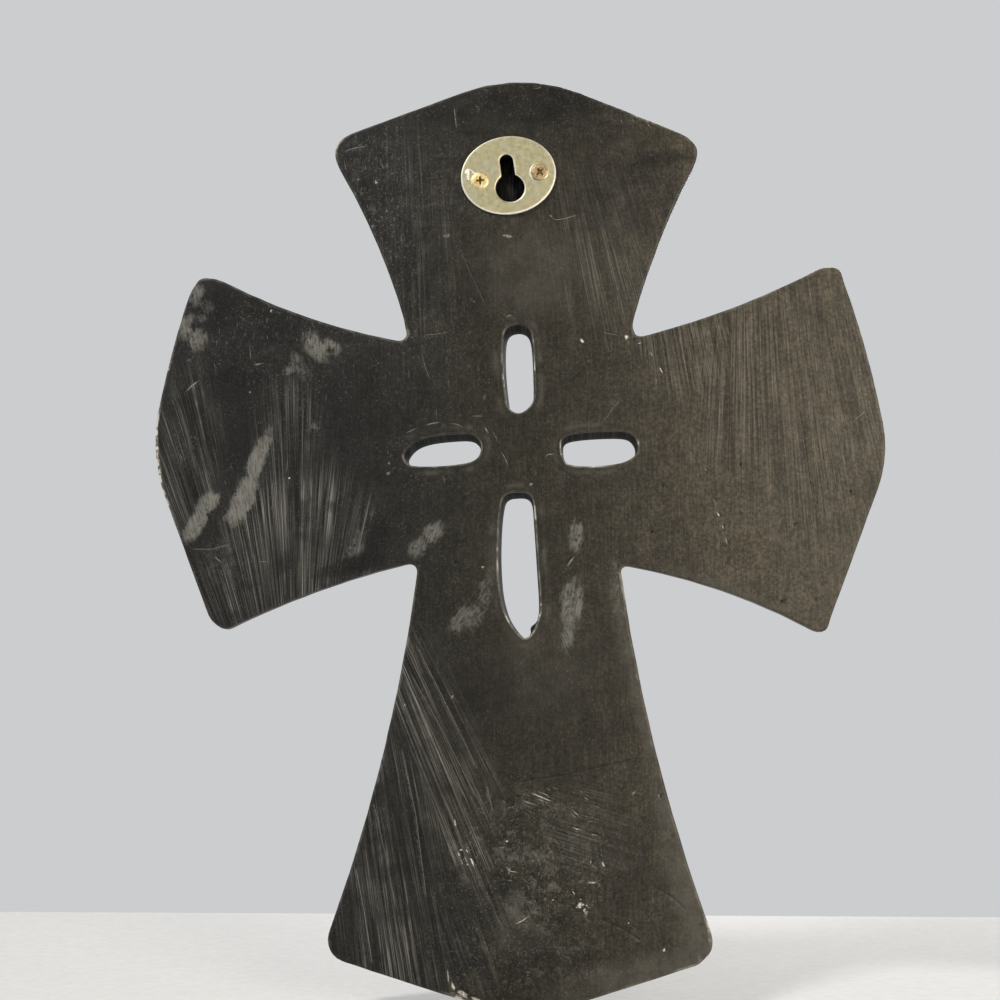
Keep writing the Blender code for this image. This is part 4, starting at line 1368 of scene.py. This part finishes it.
def calc(tree, operation, first, second=0.0, clamp=False):
    node = addNode(tree, "ShaderNodeMath", {0: first, 1: second}, operation=operation)
    node.use_clamp = clamp
    return node.outputs[0]


def times(tree, first, second, clamp=False):
    return calc(tree, "MULTIPLY", first, second, clamp)


def plus(tree, first, second, clamp=False):
    return calc(tree, "ADD", first, second, clamp)


def spread(tree, value, low, high, start=0.0, end=1.0):
    # stretches a value from one range to another, with soft ends
    return addNode(tree, "ShaderNodeMapRange", {"Value": value, "From Min": low, "From Max": high,
                                                "To Min": start, "To Max": end},
                   interpolation_type="SMOOTHSTEP").outputs["Result"]


def blendColors(tree, share, under, over, kind="MIX"):
    return addNode(tree, "ShaderNodeMix", {0: share, 6: under, 7: over},
                   data_type="RGBA", blend_type=kind).outputs[2]


def clouds(tree, place, size, detail=2.0, rough=0.5, wander=0.0):
    # noise with lumps of the given size in mm
    return addNode(tree, "ShaderNodeTexNoise", {"Vector": place, "Scale": 1 / (size * mm),
                                                "Detail": detail, "Roughness": rough,
                                                "Distortion": wander}).outputs["Fac"]


def stretchedClouds(tree, place, across, along, detail=2.0, shift=0.0):
    # noise drawn out along the second axis of place
    drawn = addNode(tree, "ShaderNodeMapping", {"Vector": place, "Location": (shift, shift, shift),
                                                "Scale": (1 / (across * mm), 1 / (along * mm), 1.0)})
    return addNode(tree, "ShaderNodeTexNoise", {"Vector": drawn.outputs[0], "Scale": 1.0,
                                                "Detail": detail, "Roughness": 0.6}).outputs["Fac"]


def turnedUp(tree, place):
    # swaps the axes so that the second one runs up the casting
    parts = addNode(tree, "ShaderNodeSeparateXYZ", {0: place}).outputs
    return addNode(tree, "ShaderNodeCombineXYZ", {0: parts["X"], 1: parts["Z"], 2: parts["Y"]}).outputs[0]


def painted(tree, name, field="Fac"):
    # a value stored on the mesh
    return addNode(tree, "ShaderNodeAttribute", attribute_name=name).outputs[field]


def addRelief(tree, shader, strength, depth, height):
    # fine relief, with its depth in mm
    bump = addNode(tree, "ShaderNodeBump", {"Strength": strength, "Distance": depth * mm,
                                            "Height": height})
    tree.links.new(bump.outputs[0], shader.inputs["Normal"])


def startFinish(name):
    material = bpy.data.materials.new(name)
    material.use_nodes = True
    tree = material.node_tree
    shader = tree.nodes["Principled BSDF"]
    place = addNode(tree, "ShaderNodeTexCoord").outputs["Object"]
    return material, tree, shader, place


resinFinish = {
    "cool": (0.0082, 0.0084, 0.0079, 1),
    "olive": (0.0210, 0.0184, 0.0118, 1),
    # the right side's warm colour is partly the resin's own tone and partly a painted sheen
    "warmSheen": (0.0610, 0.0510, 0.0345, 1),
    "haze": (0.186, 0.182, 0.162, 1),
    "streak": (0.262, 0.253, 0.228, 1),
    "streakWarm": (0.170, 0.148, 0.112, 1),
    "border": (0.088, 0.082, 0.067, 1),
    "dash": (0.190, 0.180, 0.155, 1),
    "edge": (0.36, 0.34, 0.29, 1),
    "pale": (0.72, 0.68, 0.58, 1),
    "shade": (0.006, 0.0055, 0.005, 1),
    "deepest": (0.006, 0.006, 0.006, 1),           # painted shade on the walls of holes and slots
    "drilled": (0.055, 0.054, 0.054, 1),           # streaks on them
    "specular": 0.26,
    "relief": (0.6, 0.13),                         # strength and depth in mm
    # how far each layer covers what is under it
    "crustPaleShare": 0.36,
    "crustDarkShare": 0.75,
    "sandingShare": 0.85,
    "borderShare": 0.75,
    "shadeShare": 0.85,
    "lipHighlightShare": 0.55,
    "edgeShare": 0.6,
}


def sandedLines(tree, layer, mask, place, shift):
    # light lines of one layer of sanding marks, and the darker grooves between them
    along = painted(tree, "sanding" + layer, "Vector")
    fine = spread(tree, stretchedClouds(tree, along, 0.34, 30, 2, shift), 0.48, 0.64)
    ribs = stretchedClouds(tree, along, 0.8, 42, 1, shift + 3.1)
    mid = spread(tree, ribs, 0.42, 0.60)
    broad = spread(tree, stretchedClouds(tree, along, 4.5, 80, 1, shift + 5.3), 0.36, 0.56, 0.35, 1.0)
    gaps = spread(tree, clouds(tree, place, 9, 3), 0.30, 0.50, 0.3, 1.0)
    lines = times(tree, fine, plus(tree, times(tree, mid, 0.6), 0.4))
    lines = calc(tree, "MAXIMUM", lines, times(tree, mid, 0.16))
    share = times(tree, painted(tree, mask), times(tree, broad, gaps))
    grooves = times(tree, spread(tree, ribs, 0.38, 0.62, 0.5, -0.3), painted(tree, mask))
    return times(tree, lines, share), grooves


def gray(tree, value):
    return addNode(tree, "ShaderNodeCombineColor", {0: value, 1: value, 2: value}).outputs[0]


def makeResinFinish():
    material, tree, shader, place = startFinish("blackResin")
    colors = resinFinish
    side = addNode(tree, "ShaderNodeSeparateXYZ", {0: place}).outputs["X"]
    # painted sheen: the resin is painted lighter and warmer towards the right, partly its own tone and
    # partly the sheen of the light from the right
    sheenRamp = calc(tree, "POWER", spread(tree, side, -0.11, 0.12), 1.75)
    lumps = times(tree, calc(tree, "SUBTRACT", clouds(tree, place, 45, 3), 0.5), 0.1)
    toneAndSheen = plus(tree, sheenRamp, lumps, clamp=True)
    base = blendColors(tree, spread(tree, toneAndSheen, 0, 0.3), colors["cool"], colors["olive"])
    base = blendColors(tree, spread(tree, toneAndSheen, 0.3, 1), base, colors["warmSheen"])
    blotch = spread(tree, clouds(tree, place, 7, 6, 0.66), 0.3, 0.72, 0.76, 1.27)
    grain = spread(tree, clouds(tree, place, 0.9, 3, 0.66), 0.34, 0.68, 0.58, 1.5)
    brushed = spread(tree, stretchedClouds(tree, turnedUp(tree, place), 0.6, 14, 3), 0.35, 0.68, 0.76, 1.28)
    tone = times(tree, times(tree, blotch, grain), brushed)
    base = blendColors(tree, 1.0, base, gray(tree, tone), "MULTIPLY")

    # crust of the scuffed places
    scuff = painted(tree, "scuff")
    crust = clouds(tree, place, 3.6, 7, 0.74, 0.7)
    crustPale = times(tree, spread(tree, crust, 0.50, 0.66), scuff)
    crustDark = times(tree, spread(tree, crust, 0.46, 0.36), scuff)
    base = blendColors(tree, times(tree, crustPale, colors["crustPaleShare"]), base, colors["dash"])
    base = blendColors(tree, times(tree, crustDark, colors["crustDarkShare"]), base, colors["shade"])

    # sanding, finer than the scratches of the mesh
    linesOne, groovesOne = sandedLines(tree, "One", "streakOne", place, 0.0)
    linesTwo, groovesTwo = sandedLines(tree, "Two", "streakTwo", place, 7.7)
    lines = calc(tree, "MAXIMUM", linesOne, linesTwo)
    grooves = calc(tree, "SUBTRACT", 1.0, plus(tree, groovesOne, groovesTwo))
    base = blendColors(tree, 1.0, base, gray(tree, grooves), "MULTIPLY")
    # the sanding lines take the same warm tone and painted sheen towards the right
    streakColor = blendColors(tree, toneAndSheen, colors["streak"], colors["streakWarm"])
    base = blendColors(tree, times(tree, lines, colors["sandingShare"]), base, streakColor)

    # lighter band along the right edge of the foot
    borderGaps = spread(tree, clouds(tree, place, 5, 5, 0.62), 0.3, 0.65, 0.35, 1)
    border = times(tree, painted(tree, "border"), borderGaps)
    base = blendColors(tree, times(tree, border, colors["borderShare"]), base, colors["border"])

    # scuffed greyish patches, torn along the sanding
    torn = calc(tree, "SUBTRACT", clouds(tree, place, 2.2, 6, 0.75), 0.5)
    alongOne = painted(tree, "sandingOne", "Vector")
    hazeStreak = calc(tree, "SUBTRACT", stretchedClouds(tree, alongOne, 0.5, 6, 3, 1.7), 0.5)
    uneven = plus(tree, times(tree, torn, 2.4), times(tree, hazeStreak, 1.3))
    haze = spread(tree, plus(tree, painted(tree, "haze"), uneven), 0.25, 0.80)
    haze = times(tree, haze, spread(tree, painted(tree, "haze"), 0.02, 0.95))
    hazeGrain = spread(tree, stretchedClouds(tree, alongOne, 0.45, 3, 4, 4.4), 0.36, 0.64, 0.48, 1.0)
    base = blendColors(tree, times(tree, haze, hazeGrain), base, colors["haze"])

    # darker smudges
    shadeGaps = calc(tree, "SUBTRACT", clouds(tree, place, 4, 6, 0.66), 0.5)
    shade = plus(tree, painted(tree, "shade"), times(tree, shadeGaps, 1.1))
    shade = times(tree, spread(tree, shade, 0.0, 1.0), spread(tree, painted(tree, "shade"), 0, 0.3))
    base = blendColors(tree, times(tree, shade, colors["shadeShare"]), base, colors["shade"])

    # pale line along the swelling round each slot: a lighter tone of the resin and partly a painted
    # highlight where the swelling catches the light
    lipHighlightGaps = spread(tree, clouds(tree, place, 9, 4), 0.44, 0.62)
    lipHighlight = times(tree, painted(tree, "lipHighlight"), lipHighlightGaps)
    base = blendColors(tree, times(tree, lipHighlight, colors["lipHighlightShare"]), base, colors["border"])

    # upright dashes and dust
    dashes = spread(tree, stretchedClouds(tree, turnedUp(tree, place), 0.4, 1.5, 3, 9.1), 0.60, 0.74)
    amount = plus(tree, times(tree, scuff, 0.32), 0.12)
    dashes = times(tree, dashes, amount)
    flecks = spread(tree, clouds(tree, place, 0.6, 2, 0.6, 0.3), 0.605, 0.665)
    where = spread(tree, clouds(tree, place, 10, 3), 0.42, 0.6, 0.1, 0.24)
    where = plus(tree, where, times(tree, scuff, 0.3))
    dashes = calc(tree, "MAXIMUM", dashes, times(tree, flecks, where))
    base = blendColors(tree, dashes, base, colors["dash"])

    # worn edges with their painted highlight, and the scratches and chips of the mesh
    wornPart = spread(tree, clouds(tree, place, 2.6, 4, 0.6), 0.40, 0.60, 0.28, 1.0)
    edge = times(tree, painted(tree, "edge"), wornPart)
    worn = times(tree, edge, colors["edgeShare"], clamp=True)
    base = blendColors(tree, worn, base, colors["edge"])
    base = blendColors(tree, spread(tree, edge, 0.9, 1.5), base, colors["pale"])
    pale = painted(tree, "pale")
    ragged = spread(tree, clouds(tree, place, 0.5, 3, 0.6), 0.36, 0.56, 0.3, 1.0)
    paleShare = calc(tree, "POWER", calc(tree, "MAXIMUM", pale, 0.0), 1.6)
    base = blendColors(tree, times(tree, paleShare, ragged), base, colors["pale"])
    # painted shade: slot walls, the holes behind the plate and pin holes go near black; dark cracks and
    # chips share the colour
    darkMarksAndShade = calc(tree, "MAXIMUM", times(tree, pale, -1.0), painted(tree, "hollow"))
    darkMarksAndShade = calc(tree, "MAXIMUM", darkMarksAndShade, times(tree, painted(tree, "wall"), 0.8))
    drilled = spread(tree, stretchedClouds(tree, turnedUp(tree, place), 0.9, 9, 2), 0.45, 0.7)
    deepest = blendColors(tree, drilled, colors["deepest"], colors["drilled"])
    base = blendColors(tree, calc(tree, "MINIMUM", darkMarksAndShade, 1.0), base, deepest)
    tree.links.new(base, shader.inputs["Base Color"])

    rough = plus(tree, spread(tree, clouds(tree, place, 12, 4), 0.3, 0.7, 0.42, 0.56),
                 times(tree, haze, 0.16))
    rough = calc(tree, "SUBTRACT", rough, times(tree, shade, 0.06))
    rough = calc(tree, "MAXIMUM", rough, times(tree, painted(tree, "wall"), 0.9))
    tree.links.new(rough, shader.inputs["Roughness"])
    shader.inputs["Specular IOR Level"].default_value = colors["specular"]

    relief = plus(tree, times(tree, clouds(tree, place, 2.5, 5, 0.6), 0.5),
                  times(tree, clouds(tree, place, 0.5, 2), 0.12))
    relief = calc(tree, "SUBTRACT", relief, times(tree, lines, 0.35))
    relief = calc(tree, "SUBTRACT", relief, times(tree, dashes, 0.2))
    addRelief(tree, shader, *colors["relief"], relief)
    return material


plateFinish = {
    "olive": (0.50, 0.47, 0.29, 1),
    "straw": (0.58, 0.53, 0.33, 1),
    "grey": (0.54, 0.53, 0.41, 1),
    "pink": (0.58, 0.47, 0.32, 1),
    "bright": (0.95, 0.92, 0.83, 1),
}


def makePlateFinish():
    material, tree, shader, _ = startFinish("paleBrass")
    colors = plateFinish
    place = painted(tree, "plateAt", "Vector")
    mottle = clouds(tree, place, 1.6, 5, 0.68)
    brushed = stretchedClouds(tree, place, 0.3, 4.0, 3)
    base = blendColors(tree, spread(tree, mottle, 0.3, 0.7), colors["olive"], colors["straw"])
    greyish = spread(tree, clouds(tree, place, 6, 3), 0.45, 0.68, 0, 0.7)
    base = blendColors(tree, greyish, base, colors["grey"])
    pinkish = spread(tree, clouds(tree, place, 4.4, 2, 0.5, 0.4), 0.6, 0.72, 0, 0.35)
    base = blendColors(tree, pinkish, base, colors["pink"])
    base = blendColors(tree, spread(tree, brushed, 0.42, 0.68, 0, 0.6), base, colors["straw"])
    # painted highlight: the rim, keyhole bevel, left sides of the countersinks and the burr are painted pale
    # and less metallic
    edge = painted(tree, "edge")
    base = blendColors(tree, times(tree, edge, 1.0, clamp=True), base, colors["bright"])
    tree.links.new(base, shader.inputs["Base Color"])
    tree.links.new(spread(tree, edge, 0, 1, 1.0, 0.45), shader.inputs["Metallic"])
    rough = spread(tree, mottle, 0.3, 0.7, 0.40, 0.50)
    tree.links.new(rough, shader.inputs["Roughness"])
    relief = plus(tree, times(tree, brushed, 0.5), clouds(tree, place, 1.4, 4, 0.6))
    addRelief(tree, shader, 0.4, 0.02, relief)
    return material


# both screws are one brass: the left one is painted lighter and the right one darker, a painted light and
# shade
screwFinish = {
    "left": {"face": (0.86, 0.65, 0.26, 1), "worn": (0.96, 0.82, 0.48, 1), "recessShade": (0.09, 0.04, 0.01, 1),
             "roughness": (0.38, 0.5)},
    "right": {"face": (0.38, 0.26, 0.13, 1), "worn": (0.60, 0.47, 0.28, 1), "recessShade": (0.17, 0.11, 0.05, 1),
              "roughness": (0.4, 0.56)},
}


def makeScrewFinish(side):
    material, tree, shader, place = startFinish("litBrass" if side == "left" else "shadedBrass")
    colors = screwFinish[side]
    mottle = clouds(tree, place, 0.9, 4, 0.6)
    base = blendColors(tree, spread(tree, mottle, 0.4, 0.65), colors["face"], colors["worn"])
    base = blendColors(tree, times(tree, painted(tree, "edge"), 0.6), base, colors["worn"])
    # painted shade darkening the driver cross
    base = blendColors(tree, times(tree, painted(tree, "sunk"), 0.9), base, colors["recessShade"])
    tree.links.new(base, shader.inputs["Base Color"])
    shader.inputs["Metallic"].default_value = 1.0
    tree.links.new(spread(tree, mottle, 0.3, 0.7, *colors["roughness"]), shader.inputs["Roughness"])
    addRelief(tree, shader, 0.4, 0.02, clouds(tree, place, 0.5, 4, 0.6))
    return material


# Floor, background and lights

studio = {
    "floorHeight": cadBox[0].z / mm,
    "floorBehind": 268,          # far edge of the floor
    "floorReach": 1600,
    "floorColor": (0.74, 0.73, 0.71, 1),
    "nearColor": (0.21, 0.214, 0.218, 1),     # of the room in front
    "farColor": (0.60, 0.61, 0.625, 1),      # of the wall behind
}

studioLights = {
    # place, aim, size, power in watts and colour
    "key": ((-640, -760, 800), (0, 0, -110), 260, 8.5, (1.0, 0.985, 0.96)),
    "sheen": ((620, -1050, 40), (60, 0, -120), 480, 7.5, (1.0, 0.92, 0.80)),
    "behind": ((300, 900, 500), (0, 0, -120), 700, 8.0, (1.0, 1.0, 1.0)),
}


def makeStudio():
    scene = bpy.context.scene
    reach, behind = studio["floorReach"] * mm, studio["floorBehind"] * mm
    height = studio["floorHeight"] * mm
    data = bpy.data.meshes.new("floor")
    data.from_pydata([(-reach, -reach, height), (reach, -reach, height), (reach, behind, height),
                      (-reach, behind, height)], [], [(0, 1, 2, 3)])
    floor = bpy.data.objects.new("floor", data)
    scene.collection.objects.link(floor)
    material, tree, shader, place = startFinish("paleFloor")
    speck = spread(tree, clouds(tree, place, 3, 4), 0.3, 0.7, 0.96, 1.03)
    tone = blendColors(tree, 1.0, studio["floorColor"], gray(tree, speck), "MULTIPLY")
    tree.links.new(tone, shader.inputs["Base Color"])
    shader.inputs["Roughness"].default_value = 0.8
    data.materials.append(material)
    for name, (place, aim, size, power, color) in studioLights.items():
        light = bpy.data.lights.new(name, "AREA")
        light.shape = "DISK"
        light.size = size * mm
        light.energy = power
        light.color = color
        lamp = bpy.data.objects.new(name, light)
        lamp.location = Vector(place) * mm
        lamp.rotation_euler = (Vector(aim) - Vector(place)).to_track_quat("-Z", "Y").to_euler()
        scene.collection.objects.link(lamp)
    world = bpy.data.worlds.new("studio")
    world.use_nodes = True
    background = world.node_tree.nodes["Background"]
    heading = addNode(world.node_tree, "ShaderNodeTexCoord").outputs["Generated"]
    parts = addNode(world.node_tree, "ShaderNodeSeparateXYZ", {0: heading})
    share = spread(world.node_tree, parts.outputs["Y"], -0.3, 0.9)
    world.node_tree.links.new(blendColors(world.node_tree, share, studio["nearColor"],
                                          studio["farColor"]), background.inputs["Color"])
    scene.world = world
    scene.view_settings.view_transform = "Standard"
    scene.view_settings.look = "None"


makeCamera()
print("camera placed")
makeCasting(makeResinFinish())
print("casting made")
makePlate(makePlateFinish())
makeScrew("left", makeScrewFinish("left"))
makeScrew("right", makeScrewFinish("right"))
print("hanger made")
makeStudio()
print("studio set")
